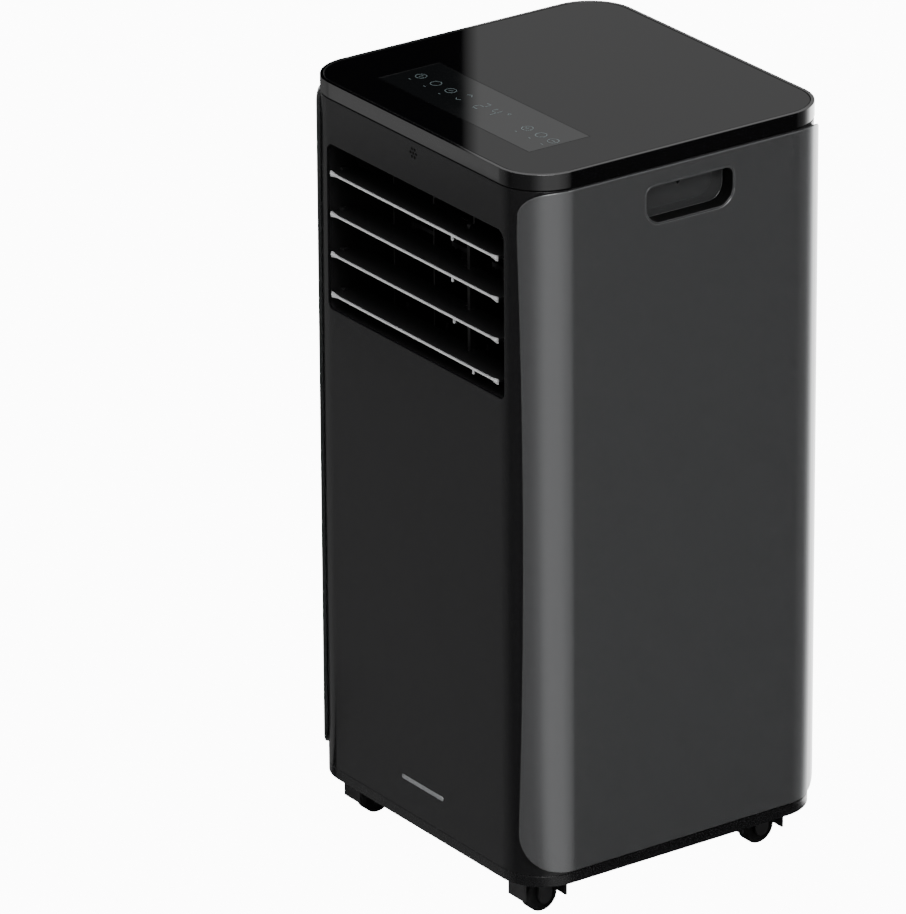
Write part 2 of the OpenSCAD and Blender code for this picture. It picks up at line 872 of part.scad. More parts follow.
// Finned heat exchanger with end plates and return bends
module coil(z0, h) {
    rows = floor((h - 20) / 26);
    bend_r = 13 / 2;
    color("#b8bcc0")
        box([-coil_w / 2 + 2, coil_y0, z0 + 2], [coil_w / 2 - 2, coil_y1, z0 + h - 2]);
    color("#9a9da0")
        for (s = [-1, 1])
            translate([s * (coil_w / 2 - 1), (coil_y0 + coil_y1) / 2, z0 + h / 2])
                cube([2, coil_t + 4, h], center = true);
    color("#b87333")
        for (s = [-1, 1], i = [0 : rows - 1])
            translate([s * (coil_w / 2 - eps), (coil_y0 + coil_y1) / 2,
                z0 + h / 2 + (i - (rows - 1) / 2) * 26])
                rotate([s * 90, 0, 0])
                    rotate([0, 0, -90])
                        rotate_extrude(angle = 180, $fn = 48)
                            translate([bend_r, 0])
                                circle(3.5, $fn = 24);
}

// Pan under the cold coil, with the upper drain spout
module condensate_tray() {
    hx = coil_w / 2 + 4;
    y0 = coil_y0 - 6;
    y1 = coil_y1 + 6;
    z0 = deck_z + 0.2;
    z1 = deck_z + 18;
    color("#d9dbd8")
        difference() {
            union() {
                box([-hx, y0, z0], [hx, y1, z1]);
                bar_y(upper_drain_x, y1 - 1, drain_head_y, upper_drain_z,
                    drain_r + spout_wall);
            }
            box([-hx + 2, y0 + 2, z0 + 2], [hx - 2, y1 - 2, z1 + 1]);
            bar_y(upper_drain_x, y1 - 4, case_hy, upper_drain_z, drain_r);
        }
}

// Casing of a drum fan: a round chamber with a mouth between z0 and z1 that opens at y_mouth
module scroll(y, z, r, half, inlet, y_mouth, z0, z1) {
    lo = min(y, y_mouth);
    hi = max(y, y_mouth);
    color("#c4c6c3")
        difference() {
            side_prism(-half, half)
                union() {
                    translate([y, z])
                        circle(r + scroll_t);
                    translate([lo, z0 - scroll_t])
                        square([hi - lo, z1 - z0 + 2 * scroll_t]);
                }
            side_prism(-half + scroll_t, half - scroll_t)
                union() {
                    translate([y, z])
                        circle(r);
                    translate([lo - (y_mouth < y ? 1 : 0), z0])
                        square([hi - lo + 1, z1 - z0]);
                }
            bar_x(-far, far, y, z, inlet);
        }
}

// Drum fan wheel: end rings, middle disc, hub, straight blades and its shaft
module drum_wheel(y, z, r, w, blades, shaft_end) {
    depth = 13;
    color("#e4e4e0")
        translate([0, y, z])
            rotate([0, 90, 0]) {
                for (s = [-1, 1])
                    translate([0, 0, s * (w / 2 - 2) - 2])
                        difference() {
                            cylinder(h = 4, r = r);
                            translate([0, 0, -1])
                                cylinder(h = 6, r = r - depth);
                        }
                translate([0, 0, -2])
                    cylinder(h = 4, r = r);
                translate([0, 0, -12])
                    cylinder(h = 24, r = 12);
                translate([0, 0, 0])
                    cylinder(h = shaft_end, r = shaft_r);
                for (i = [0 : blades - 1])
                    rotate([0, 0, i * 360 / blades])
                        translate([r - depth / 2 - 1, 0, 0])
                            rotate([0, 0, 28])
                                cube([depth - 3, 1.2, w - 2], center = true);
            }
}

// Fan motor on a three-armed spider fixed to the scroll's end plate
module fan_motor(y, z, x0, r, l, arm) {
    color("#8d9094")
        translate([x0, y, z])
            rotate([0, 90, 0])
                difference() {
                    union() {
                        translate([0, 0, 4])
                            cylinder(h = l, r = r);
                        for (a = [60, 180, 300])
                            rotate([0, 0, a]) {
                                translate([r / 2, -6, 4])
                                    cube([arm - r / 2, 12, 3]);
                                translate([arm - 6, 0, 0.2])
                                    cylinder(h = 5, r = 4, $fn = 32);
                            }
                    }
                    translate([0, 0, -1])
                        cylinder(h = l - 3, r = shaft_r + shaft_play);
                }
}

module evaporator_coil() {
    z0 = deck_z + 22;
    coil(z0, case_z1 - 30 - z0);
}

module condenser_coil() {
    z0 = floor_z + 30;
    coil(z0, lower_grille_z0 + lower_grille_h + 8 - z0);
}

module blower_scroll() {
    scroll(blower_y, blower_z, blower_r + scroll_gap, blower_case, inlet_r,
        duct_y1 + 0.2, outlet_z0 + scroll_t, outlet_z1 - scroll_t);
}

module blower_wheel() {
    drum_wheel(blower_y, blower_z, blower_r, blower_w, 30, blower_case + 24);
}

module blower_motor() {
    fan_motor(blower_y, blower_z, blower_case, blower_motor_r, blower_motor_l, inlet_r + 12);
}

module exhaust_scroll() {
    scroll(fan_y, fan_z, fan_r + fan_gap, fan_case, fan_r - 10,
        in_hy + wall - collar_l - 0.2, fan_z - fan_r - fan_gap + 1, fan_z + fan_r + fan_gap - 1);
}

module exhaust_wheel() {
    drum_wheel(fan_y, fan_z, fan_r, fan_w, 24, fan_case + 24);
}

module exhaust_motor() {
    fan_motor(fan_y, fan_z, fan_case, fan_motor_r, fan_motor_l, fan_r + 2);
}

// Rotary compressor: domed shell, core and feet, with the suction accumulator on its strap
module compressor() {
    color("#1a1a1a")
        translate([comp_x, comp_y, comp_z]) {
            difference() {
                union() {
                    cylinder(h = comp_h - 12, r = comp_r);
                    translate([0, 0, comp_h - 12 - eps])
                        cylinder(h = 12, r1 = comp_r, r2 = comp_r - 18);
                    translate([0, 0, comp_h - eps])
                        cylinder(h = 8, r = 14);
                    for (a = foot_angles)
                        rotate([0, 0, a])
                            translate([0, -16, 0])
                                cube([comp_r + 6, 32, 3]);
                }
                translate([0, 0, 4])
                    cylinder(h = comp_h - 20, r = comp_r - 4);
                for (a = foot_angles)
                    rotate([0, 0, a])
                        translate([comp_r + 6 - foot_r, 0, -1])
                            cylinder(h = 6, r = 5 + 0.2, $fn = 32);
            }
            translate([0, 0, 4 - eps])
                cylinder(h = 130, r = 36);
        }
    color("#1d1d1d") {
        difference() {
            bar_z(accu_x, comp_y, accu_z, accu_z + accu_h, accu_r);
            bar_z(accu_x, comp_y, accu_z + 2, accu_z + accu_h - 2, accu_r - 2);
        }
        translate([accu_x, comp_y, accu_z + accu_h - eps])
            cylinder(h = 12, r1 = accu_r, r2 = 8);
        translate([accu_x, comp_y, accu_z - 12])
            cylinder(h = 12 + eps, r1 = 8, r2 = accu_r);
        box([accu_x + accu_r - 2, comp_y - 8, accu_z + 60],
            [comp_x - comp_r + 2, comp_y + 8, accu_z + 64]);
    }
}

// Rubber feet that carry the compressor
module compressor_feet() {
    color("#111111")
        for (a = foot_angles)
            translate([comp_x, comp_y, floor_z])
                rotate([0, 0, a])
                    translate([comp_r + 6 - foot_r, 0, 0]) {
                        cylinder(h = comp_z - floor_z - 0.1, r = foot_r - 0.5, $fn = 48);
                        cylinder(h = comp_z - floor_z + 2, r = 5, $fn = 32);
                    }
}

// Splash wheel that throws condensate on the hot coil
module slinger_wheel() {
    color("#e4e4e0")
        translate([sling_x, sling_y, sling_z])
            rotate([0, 90, 0]) {
                cylinder(h = 3, r = sling_r - 4);
                for (i = [0 : 11])
                    rotate([0, 0, i * 30])
                        translate([sling_r - 9, -1, 0])
                            cube([9, 2, 10]);
                cylinder(h = 10, r = 6, $fn = 32);
                cylinder(h = 30, r = 3, $fn = 32);
            }
}

module slinger_motor() {
    color("#8d9094")
        difference() {
            union() {
                bar_x(sling_x + 14, sling_x + 48, sling_y, sling_z, 18);
                box([sling_x + 20, sling_y - 16, floor_z + 0.1],
                    [sling_x + 42, sling_y + 16, sling_z - 10]);
            }
            bar_x(sling_x, sling_x + 36, sling_y, sling_z, 3 + shaft_play, $fn = 32);
        }
}

// Copper lines: discharge, suction and the return from the hot coil to the cold one
module refrigerant_pipes() {
    side = coil_w / 2 + 20;
    end = coil_w / 2 + 0.2;
    mid = (coil_y0 + coil_y1) / 2;
    cap = comp_z + comp_h;
    run = deck_z - deck_t - 30;
    top = deck_z + 44;
    color("#b87333") {
        pipe([[comp_x, comp_y, cap + 8.1], [comp_x, comp_y, cap + 24],
            [side, comp_y, cap + 24], [side, mid - 9, cap + 24],
            [side, mid - 9, low_port_z + 80], [end, mid - 9, low_port_z + 80]], 4);
        pipe([[accu_x, comp_y, accu_z + accu_h + 12.1], [accu_x, comp_y, run],
            [-side, comp_y, run], [-side, mid - 9, run], [-side, mid - 9, top],
            [-end, mid - 9, top]], 4.5);
        pipe([[-end, mid + 8, floor_z + 40], [-side, mid + 8, floor_z + 40],
            [-side, mid + 8, top + 30], [-end, mid + 8, top + 30]], 3);
    }
}

// Box with the power board, relay and fan capacitor
module control_box() {
    x0 = -in_hx + 5;
    x1 = x0 + 32;
    color("#e9e9e4") {
        difference() {
            box([x0, -70, deck_z + 12], [x1, 50, deck_z + 166]);
            box([x0 + 2, -68, deck_z + 14], [x1 - 2, 48, deck_z + 164]);
        }
        box([x0 + 6, -60, deck_z + 24], [x0 + 7.6, 40, deck_z + 156]);
        bar_z(x0 + 16, 30, deck_z + 13.9, deck_z + 70, 8, $fn = 48);
    }
}

// Slotted face of an intake, with upright ribs behind the bars
module grille_face(z0, h) {
    hx = grille_w / 2;
    n = floor((h - 2 * grille_rim + bar_h) / bar_pitch);
    start = z0 + (h - (n * bar_pitch - bar_h)) / 2;
    difference() {
        box([-hx, case_hy - grille_t, z0], [hx, case_hy, z0 + h]);
        for (i = [0 : n - 1])
            box([-hx + grille_rim, 0, start + i * bar_pitch],
                [hx - grille_rim, far, start + (i + 1) * bar_pitch - bar_h]);
    }
    for (x = [-hx / 3, hx / 3])
        box([x - 1, case_hy - grille_t, z0 + grille_rim - 1],
            [x + 1, case_hy - 1, z0 + h - grille_rim + 1]);
}

// Tilt-out cassette over the cold coil, with rails for its filter and a finger notch
module upper_grille() {
    hx = grille_w / 2;
    z1 = upper_grille_z0 + upper_grille_h;
    y0 = case_hy - cassette_d;
    color("#1b1b1d")
        difference() {
            union() {
                grille_face(upper_grille_z0, upper_grille_h);
                difference() {
                    box([-hx, y0, upper_grille_z0],
                        [hx, case_hy - grille_t + eps, z1]);
                    box([-hx + 3, y0 - 1, upper_grille_z0 + 3],
                        [hx - 3, case_hy, z1 - 3]);
                }
            }
            bar_y(0, case_hy - 2, far, z1 + 6, 14);
        }
}

// Mesh filter held in the cassette
module upper_filter() {
    hx = grille_w / 2 - 3.4;
    z0 = upper_grille_z0 + 3.4;
    z1 = upper_grille_z0 + upper_grille_h - 3.4;
    y0 = case_hy - cassette_d + 0.4;
    color("#55585c") {
        difference() {
            box([-hx, y0, z0], [hx, y0 + filter_t, z1]);
            box([-hx + 6, 0, z0 + 6], [hx - 6, far, z1 - 6]);
        }
        box([-hx + 5, y0 + 1.6, z0 + 5], [hx - 5, y0 + 2.2, z1 - 5]);
        for (x = [-hx / 3, hx / 3])
            box([x - 1.5, y0, z0 + 5], [x + 1.5, y0 + filter_t, z1 - 5]);
    }
}

module lower_grille() {
    color("#1b1b1d")
        grille_face(lower_grille_z0, lower_grille_h);
}

// Collar that takes the exhaust hose's end, with a stop lip at its inner end
module exhaust_collar() {
    y0 = case_hy - collar_l;
    color("#232325")
        difference() {
            union() {
                bar_y(0, y0, case_hy - 0.1, fan_z, exhaust_r + collar_wall);
                bar_y(0, in_hy - 3.2, in_hy - 0.2, fan_z, exhaust_r + collar_wall + flange_w);
            }
            bar_y(0, y0 - 1, far, fan_z, exhaust_r - stop_w);
            bar_y(0, y0 + guard_t, far, fan_z, exhaust_r);
        }
}

// Finger guard that is pressed into the collar's stop lip: two rings, a hub and six spokes
module exhaust_guard() {
    rim_r = exhaust_r - stop_w - 0.1;
    y0 = case_hy - collar_l;
    color("#232325") {
        difference() {
            bar_y(0, y0, y0 + guard_t, fan_z, rim_r);
            bar_y(0, y0 - 1, y0 + guard_t + 1, fan_z, rim_r - 2.5);
        }
        difference() {
            bar_y(0, y0 + 0.6, y0 + guard_t - 0.6, fan_z, rim_r / 2 + 2);
            bar_y(0, y0 - 1, y0 + guard_t + 1, fan_z, rim_r / 2 - 2);
        }
        bar_y(0, y0, y0 + guard_t, fan_z, 8);
        for (a = [30 : 60 : 359])
            translate([0, y0, fan_z])
                rotate([0, a, 0])
                    box([5, 0.3, -1.5], [rim_r - 1, guard_t - 0.3, 1.5]);
    }
}

// Rubber bung of a drain spout, its head flush in the casing
module drain_plug(x, z) {
    color("#0f0f10")
        difference() {
            union() {
                bar_y(x, drain_head_y + 0.2, case_hy - 0.3, z, drain_head_r, $fn = 48);
                bar_y(x, drain_head_y - 8, drain_head_y + 1, z, drain_r - pin_play, $fn = 48);
            }
            for (s = [-1, 1])
                box([x - 12, case_hy - 2, z + s * 6 - 3], [x + 12, case_hy, z + s * 6 + 3]);
        }
}

// Grommet where the mains lead enters
module power_gland() {
    flange_y1 = in_hy - fit_gap - wall - 0.4;
    flange_y0 = flange_y1 - gland_flange_t;
    color("#0f0f10")
        difference() {
            union() {
                bar_y(gland_x, flange_y0, case_hy - 0.1, low_port_z, gland_r, $fn = 48);
                bar_y(gland_x, flange_y0, flange_y1, low_port_z, gland_r + 3, $fn = 48);
            }
            bar_y(gland_x, 0, far, low_port_z, cord_r, $fn = 48);
        }
}

// Caster places: 1 front left, 2 front right, 3 rear left, 4 rear right
function caster_at(i) = [i % 2 == 0 ? -stem_x : stem_x, i < 2 ? -stem_y : stem_y, 0];

// Swivel yoke: stem, top plate, front skirt, cheeks, rear tab and axle
module caster_yoke(i) {
    half = wheel_w / 2;
    color("#151517")
        translate(caster_at(i)) {
            bar_z(0, 0, yoke_top - 1, caster_h + stem_l, stem_r);
            bar_z(0, 0, yoke_top - 1, caster_h - 0.1, stem_r + 3);
            translate([0, -trail, 0]) {
                box([-yoke_w / 2, -yoke_front, yoke_top - yoke_t],
                    [yoke_w / 2, yoke_back, yoke_top]);
                box([-yoke_w / 2, -yoke_front, wheel_r + 1],
                    [yoke_w / 2, -yoke_front + 2.4, yoke_top - 1]);
                box([-yoke_w / 2, yoke_back - 2, wheel_r - 4],
                    [yoke_w / 2, yoke_back, yoke_top - 1]);
                for (s = [-1, 1])
                    side_prism(s * (half + 1 + cheek_t / 2) - cheek_t / 2,
                        s * (half + 1 + cheek_t / 2) + cheek_t / 2) {
                        translate([-cheek_r, wheel_r])
                            square([2 * cheek_r, yoke_top - 1 - wheel_r]);
                        translate([0, wheel_r])
                            circle(cheek_r);
                    }
                bar_x(-half - 2, half + 2, 0, wheel_r, axle_r, $fn = 48);
            }
        }
}

module caster_wheel(i) {
    half = wheel_w / 2;
    color("#0d0d0e")
        translate(caster_at(i) + [0, -trail, wheel_r])
            rotate([0, 90, 0])
                difference() {
                    union() {
                        translate([0, 0, -half + 2])
                            cylinder(h = wheel_w - 4, r = wheel_r);
                        for (s = [-1, 1])
                            translate([0, 0, s * (half - 1) - 1])
                                cylinder(h = 2, r1 = wheel_r - (s < 0 ? 2 : 0),
                                    r2 = wheel_r - (s > 0 ? 2 : 0));
                    }
                    translate([0, 0, -half - 1])
                        cylinder(h = wheel_w + 2, r = axle_r + pin_play, $fn = 48);
                    for (s = [-1, 1])
                        translate([0, 0, s * half - 1.5])
                            difference() {
                                cylinder(h = 3, r = wheel_r - 4);
                                translate([0, 0, -1])
                                    cylinder(h = 5, r = 5);
                            }
                }
}

base_tray();
front_housing();
rear_housing();
side_panel(-1);  // left_side_panel
side_panel(1);  // right_side_panel
handle_cup(-1);  // left_handle_cup
handle_cup(1);  // right_handle_cup
top_cover();
top_glass();
display_lens();
control_board();
casing_screws();
mid_deck();
outlet_duct();
louver(0);  // louver_1
louver(1);  // louver_2
louver(2);  // louver_3
louver(3);  // louver_4
louver_trim(0);  // louver_trim_1
louver_trim(1);  // louver_trim_2
louver_trim(2);  // louver_trim_3
louver_trim(3);  // louver_trim_4
louver_link();
swing_motor();
vane(0);  // vane_1
vane(1);  // vane_2
vane(2);  // vane_3
vane(3);  // vane_4
vane_link();
evaporator_coil();
blower_scroll();
blower_wheel();
blower_motor();
condensate_tray();
compressor();
compressor_feet();
condenser_coil();
exhaust_scroll();
exhaust_wheel();
exhaust_motor();
slinger_wheel();
slinger_motor();
refrigerant_pipes();
control_box();
upper_grille();
upper_filter();
lower_grille();
exhaust_collar();
exhaust_guard();
drain_plug(upper_drain_x, upper_drain_z);  // upper_drain_plug
drain_plug(lower_drain_x, low_port_z);  // lower_drain_plug
power_gland();
caster_yoke(0);  // caster_yoke_1
caster_yoke(1);  // caster_yoke_2
caster_yoke(2);  // caster_yoke_3
caster_yoke(3);  // caster_yoke_4
caster_wheel(0);  // caster_wheel_1
caster_wheel(1);  // caster_wheel_2
caster_wheel(2);  // caster_wheel_3
caster_wheel(3);  // caster_wheel_4
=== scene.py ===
"""A portable air conditioner: looks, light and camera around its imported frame."""
import json
import math

import bmesh
import bpy
from mathutils import Matrix, Vector


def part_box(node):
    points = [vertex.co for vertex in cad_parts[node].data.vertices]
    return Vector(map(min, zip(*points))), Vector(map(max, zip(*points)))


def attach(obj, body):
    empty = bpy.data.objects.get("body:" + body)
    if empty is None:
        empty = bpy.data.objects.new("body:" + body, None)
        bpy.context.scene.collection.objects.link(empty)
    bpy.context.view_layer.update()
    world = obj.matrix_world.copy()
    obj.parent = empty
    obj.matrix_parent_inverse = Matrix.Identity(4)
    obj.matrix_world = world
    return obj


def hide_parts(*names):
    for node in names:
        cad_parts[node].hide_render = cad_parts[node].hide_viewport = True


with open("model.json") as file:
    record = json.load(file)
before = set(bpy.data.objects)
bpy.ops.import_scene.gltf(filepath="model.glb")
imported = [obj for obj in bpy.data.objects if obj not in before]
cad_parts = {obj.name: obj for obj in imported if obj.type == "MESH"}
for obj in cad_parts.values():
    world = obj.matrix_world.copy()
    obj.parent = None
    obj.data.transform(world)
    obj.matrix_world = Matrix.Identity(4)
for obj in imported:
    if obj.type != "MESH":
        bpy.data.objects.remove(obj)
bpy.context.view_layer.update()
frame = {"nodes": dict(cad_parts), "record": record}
NODES = frame["nodes"]
SLOT_OF = {part["node"]: part["material_slot"] for part in frame["record"]["subparts"]}

MM = 0.001
WELD = 0.002 * MM                # corners nearer than this are one corner
SMOOTH_BELOW = 30                # degrees: gentler edges are shaded smooth
ROUND_ABOVE = 38                 # degrees: sharper edges are rounded
VIEW_AZIMUTH = 54.927            # degrees from the front towards the handle side
COIL_HALF = 111 * MM             # from the middle of a coil to its end plates
HOUSING_CORNER = 43.5 * MM       # radii of the upright corners, in plan
PANEL_CORNER = 47.5 * MM
LID_CORNER = 44 * MM
PAPER_HALF = 30                  # metres from the middle of the studio floor to its edge
SURROUND_RADIUS = 28
SURROUND_GLOW = 12.0             # bright enough to clip to white
ROOM = 0.41                      # brightness of the white room
DIM = 0.025                      # brightness of the floor where glossy pieces see it dark


# ---------------------------------------------------------------- small helpers

def linear(hex_code):
    """Linear RGBA of an sRGB hex colour."""
    def channel(c):
        return c / 12.92 if c <= 0.04045 else ((c + 0.055) / 1.055) ** 2.4
    return tuple(channel(int(hex_code[i:i + 2], 16) / 255) for i in (1, 3, 5)) + (1.0,)


def add(tree, kind, inputs=None, **settings):
    """Adds one node, with its settings, its input values and the sockets linked to its inputs."""
    node = tree.nodes.new(kind)
    for name, value in settings.items():
        setattr(node, name, value)
    for key, value in (inputs or {}).items():
        if isinstance(value, bpy.types.NodeSocket):
            tree.links.new(value, node.inputs[key])
        else:
            node.inputs[key].default_value = value
    return node


def surface(name, color, roughness, **inputs):
    """A material with one Principled shader. Returns material, its tree and the shader."""
    mat = bpy.data.materials.new(name)
    mat.use_nodes = True
    tree = mat.node_tree
    tree.nodes.clear()
    values = {"Base Color": linear(color), "Roughness": roughness}
    values.update({key.replace("_", " "): value for key, value in inputs.items()})
    shader = add(tree, "ShaderNodeBsdfPrincipled", values)
    add(tree, "ShaderNodeOutputMaterial", {"Surface": shader.outputs[0]})
    return mat, tree, shader


def grain(tree, shader, size, depth, detail=2.0, low=None, high=None, stretch=(1, 1, 1)):
    """Relief of grains of a real size and depth, which also vary the roughness from low to high."""
    place = add(tree, "ShaderNodeTexCoord").outputs["Object"]
    if stretch != (1, 1, 1):
        place = add(tree, "ShaderNodeMapping", {"Vector": place, "Scale": stretch}).outputs[0]
    noise = add(tree, "ShaderNodeTexNoise", {"Vector": place, "Scale": 1 / size, "Detail": detail})
    bump = add(tree, "ShaderNodeBump",
               {"Height": noise.outputs[0], "Distance": depth, "Strength": 1.0})
    tree.links.new(bump.outputs[0], shader.inputs["Normal"])
    if low is not None:
        span = add(tree, "ShaderNodeMapRange",
                   {"Value": noise.outputs[0], "From Min": 0.3, "From Max": 0.7,
                    "To Min": low, "To Max": high})
        tree.links.new(span.outputs[0], shader.inputs["Roughness"])
    return noise


def tint(tree, shader, factor, dark, light):
    """Base colour that runs between two hex colours with a factor socket."""
    mix = add(tree, "ShaderNodeMix", data_type="RGBA")
    mix.inputs[6].default_value = linear(dark)
    mix.inputs[7].default_value = linear(light)
    tree.links.new(factor, mix.inputs[0])
    tree.links.new(mix.outputs[2], shader.inputs["Base Color"])


# ---------------------------------------------------------------- materials

def housing_abs():
    # Spark-eroded ABS: a near-black satin that stays even, with a grain felt more than seen.
    mat, tree, shader = surface("spark_eroded_black_abs", "#131314", 0.16, IOR=1.53)
    grain(tree, shader, 0.9 * MM, 0.002 * MM, low=0.14, high=0.18)
    return mat


def panel_paint():
    # Flake paint on ABS: dark grey with a metal's soft mirror at the corners.
    mat, tree, shader = surface("dark_metal_flake_paint", "#7a7b7c", 0.09, Metallic=0.8, IOR=1.5)
    noise = grain(tree, shader, 0.5 * MM, 0.0005 * MM, detail=1.0, low=0.07, high=0.11)
    tint(tree, shader, noise.outputs[0], "#757677", "#7f8081")
    return mat


def lid_abs():
    # Lacquered piano-black ABS: deep black that mirrors whatever stands near it.
    mat, tree, shader = surface("lacquered_black_abs", "#030304", 0.07, IOR=1.53,
                                Coat_Weight=1.0, Coat_Roughness=0.04, Coat_IOR=1.6)
    grain(tree, shader, 14 * MM, 0.004 * MM, low=0.05, high=0.08)
    return mat


def lid_glass():
    # Soda-lime glass with black enamel behind it: a black mirror.
    mat, tree, shader = surface("black_enamelled_glass", "#050506", 0.02, IOR=1.52)
    grain(tree, shader, 60 * MM, 0.002 * MM, low=0.015, high=0.03)
    return mat


def smoked_lens():
    # Half-mirrored smoked acrylic: a shade paler than the glass round it.
    mat, tree, shader = surface("smoked_acrylic", "#0e0f10", 0.04, IOR=2.0)
    grain(tree, shader, 30 * MM, 0.002 * MM, low=0.03, high=0.06)
    return mat


def base_abs():
    # Regrind ABS: the same black as the housings, a little duller.
    mat, tree, shader = surface("coarse_black_abs", "#131314", 0.24, IOR=1.53)
    grain(tree, shader, 1.2 * MM, 0.004 * MM, low=0.2, high=0.3)
    return mat


def duct_abs():
    # Matt black ABS: swallows the light behind the louvers.
    mat, tree, shader = surface("matt_black_abs", "#0a0a0b", 0.5, IOR=1.53)
    grain(tree, shader, 0.8 * MM, 0.03 * MM, low=0.44, high=0.56)
    return mat


def trim_chrome():
    # Satin chrome on ABS: a white-bright line with faint drawn streaks.
    mat, tree, shader = surface("satin_chrome", "#f6f7f8", 0.25, Metallic=0.6)
    grain(tree, shader, 1.0 * MM, 0.002 * MM, low=0.24, high=0.36, stretch=(0.05, 1, 1))
    return mat


def nylon():
    # Glass-filled nylon: black, with a waxy sheen and a little mottle.
    mat, tree, shader = surface("glass_filled_nylon", "#262627", 0.4, IOR=1.53)
    grain(tree, shader, 1.0 * MM, 0.03 * MM, low=0.34, high=0.5)
    return mat


def tread_rubber():
    # Hard polyurethane tread: dull black with fine scuffs round it.
    mat, tree, shader = surface("hard_black_tread", "#0e0e0f", 0.6, IOR=1.5)
    grain(tree, shader, 0.7 * MM, 0.05 * MM, low=0.5, high=0.75)
    return mat


def soft_rubber():
    # Moulded EPDM rubber: matt, slightly bloomed.
    mat, tree, shader = surface("epdm_rubber", "#111111", 0.75, IOR=1.52)
    noise = grain(tree, shader, 1.5 * MM, 0.04 * MM, low=0.65, high=0.85)
    tint(tree, shader, noise.outputs[0], "#0e0e0e", "#181818")
    return mat


def solder_mask():
    # Solder mask over copper tracks: green, glossy, with darker lanes.
    mat, tree, shader = surface("green_solder_mask", "#1d5238", 0.3, IOR=1.55)
    place = add(tree, "ShaderNodeTexCoord").outputs["Object"]
    lanes = add(tree, "ShaderNodeTexBrick",
                {"Vector": place, "Scale": 1 / (8 * MM), "Mortar Size": 0.06,
                 "Color1": linear("#1d5238"), "Color2": linear("#1a4a33"),
                 "Mortar": linear("#2c6b49")})
    tree.links.new(lanes.outputs[0], shader.inputs["Base Color"])
    return mat


def black_steel():
    # Oxide-blackened steel: dark, with a dry metallic edge.
    mat, tree, shader = surface("blackened_steel", "#2b2b2d", 0.38, Metallic=0.9)
    grain(tree, shader, 0.6 * MM, 0.01 * MM, low=0.3, high=0.48)
    return mat


def deck_plastic():
    # Off-white polypropylene: the half-matt, faintly mottled look of a thick moulding.
    mat, tree, shader = surface("off_white_polypropylene", "#c6c6c0", 0.5, IOR=1.49)
    noise = grain(tree, shader, 2.5 * MM, 0.03 * MM, low=0.42, high=0.6)
    tint(tree, shader, noise.outputs[0], "#bdbdb7", "#cfcfca")
    return mat


def motor_abs():
    # Natural ABS of motor housings: warm white, half matt.
    mat, tree, shader = surface("natural_abs", "#dcdcd4", 0.42, IOR=1.53)
    grain(tree, shader, 1.2 * MM, 0.02 * MM, low=0.36, high=0.5)
    return mat


def fin_aluminium():
    # Mill-finish fin stock: pale metal with fine rolling streaks.
    mat, tree, shader = surface("mill_finish_aluminium", "#c9ccd0", 0.35, Metallic=1.0)
    grain(tree, shader, 1.5 * MM, 0.01 * MM, low=0.28, high=0.45, stretch=(1, 1, 0.1))
    return mat


def foam_board():
    # Expanded polypropylene: black beads pressed flat, which show as a pebbled skin.
    mat, tree, shader = surface("pressed_bead_foam", "#161617", 0.8, IOR=1.5)
    place = add(tree, "ShaderNodeTexCoord").outputs["Object"]
    beads = add(tree, "ShaderNodeTexVoronoi", {"Vector": place, "Scale": 1 / (3.5 * MM)})
    bump = add(tree, "ShaderNodeBump",
               {"Height": beads.outputs["Distance"], "Distance": 0.3 * MM}, invert=True)
    tree.links.new(bump.outputs[0], shader.inputs["Normal"])
    tint(tree, shader, beads.outputs["Distance"], "#19191a", "#101011")
    return mat


def fan_plastic():
    # Talc-filled polypropylene: black with a chalky bloom.
    mat, tree, shader = surface("talc_filled_polypropylene", "#19191a", 0.48, IOR=1.49)
    grain(tree, shader, 1.0 * MM, 0.02 * MM, low=0.42, high=0.56)
    return mat


def zinc_steel():
    # Zinc-plated motor can: grey metal with a faint spangle.
    mat, tree, shader = surface("zinc_plated_steel", "#8f9296", 0.35, Metallic=1.0)
    noise = grain(tree, shader, 6 * MM, 0.004 * MM, low=0.28, high=0.45)
    tint(tree, shader, noise.outputs[0], "#85888c", "#9a9da1")
    return mat


def shell_paint():
    # Baked black enamel over drawn steel: glossy with slight orange peel.
    mat, tree, shader = surface("baked_black_enamel", "#121212", 0.28, IOR=1.5)
    grain(tree, shader, 2.0 * MM, 0.02 * MM, low=0.22, high=0.34)
    return mat


def copper():
    # Drawn copper tube: warm metal dulled here and there by heat.
    mat, tree, shader = surface("drawn_copper", "#c27a52", 0.3, Metallic=1.0)
    noise = grain(tree, shader, 9 * MM, 0.01 * MM, low=0.22, high=0.42)
    tint(tree, shader, noise.outputs[0], "#a9623f", "#d08a62")
    return mat


def filter_nylon():
    # Woven nylon filter: grey threads with a slight gloss.
    mat, tree, shader = surface("grey_filter_nylon", "#5a5d61", 0.45, IOR=1.53)
    grain(tree, shader, 0.6 * MM, 0.02 * MM, low=0.38, high=0.55)
    return mat


def plate_print():
    # Satin silver foil on the nameplate: bright, brushed along its length.
    mat, tree, shader = surface("satin_silver_foil", "#b9bbbd", 0.3, Metallic=0.8)
    grain(tree, shader, 0.4 * MM, 0.004 * MM, low=0.24, high=0.4, stretch=(0.06, 1, 1))
    return mat


def painted_shade_black():
    # Painted shade: a matt near-black for the inside walls of the handle and the receiver holes,
    # standing in for the shade that falls there; it gives back almost no light.
    mat, tree, shader = surface("painted_shade_black_abs", "#040404", 0.6, IOR=1.53,
                                Specular_IOR_Level=0.1)
    grain(tree, shader, 0.8 * MM, 0.02 * MM, low=0.55, high=0.68)
    return mat


def icon_print():
    # Clear-coated grey-green ink: as glossy as the lens, and only a shade paler.
    mat, tree, shader = surface("grey_key_ink", "#566264", 0.05, IOR=2.0)
    noise = grain(tree, shader, 1.0 * MM, 0.0002 * MM)
    tint(tree, shader, noise.outputs[0], "#4e5a5c", "#5e6a6c")
    return mat


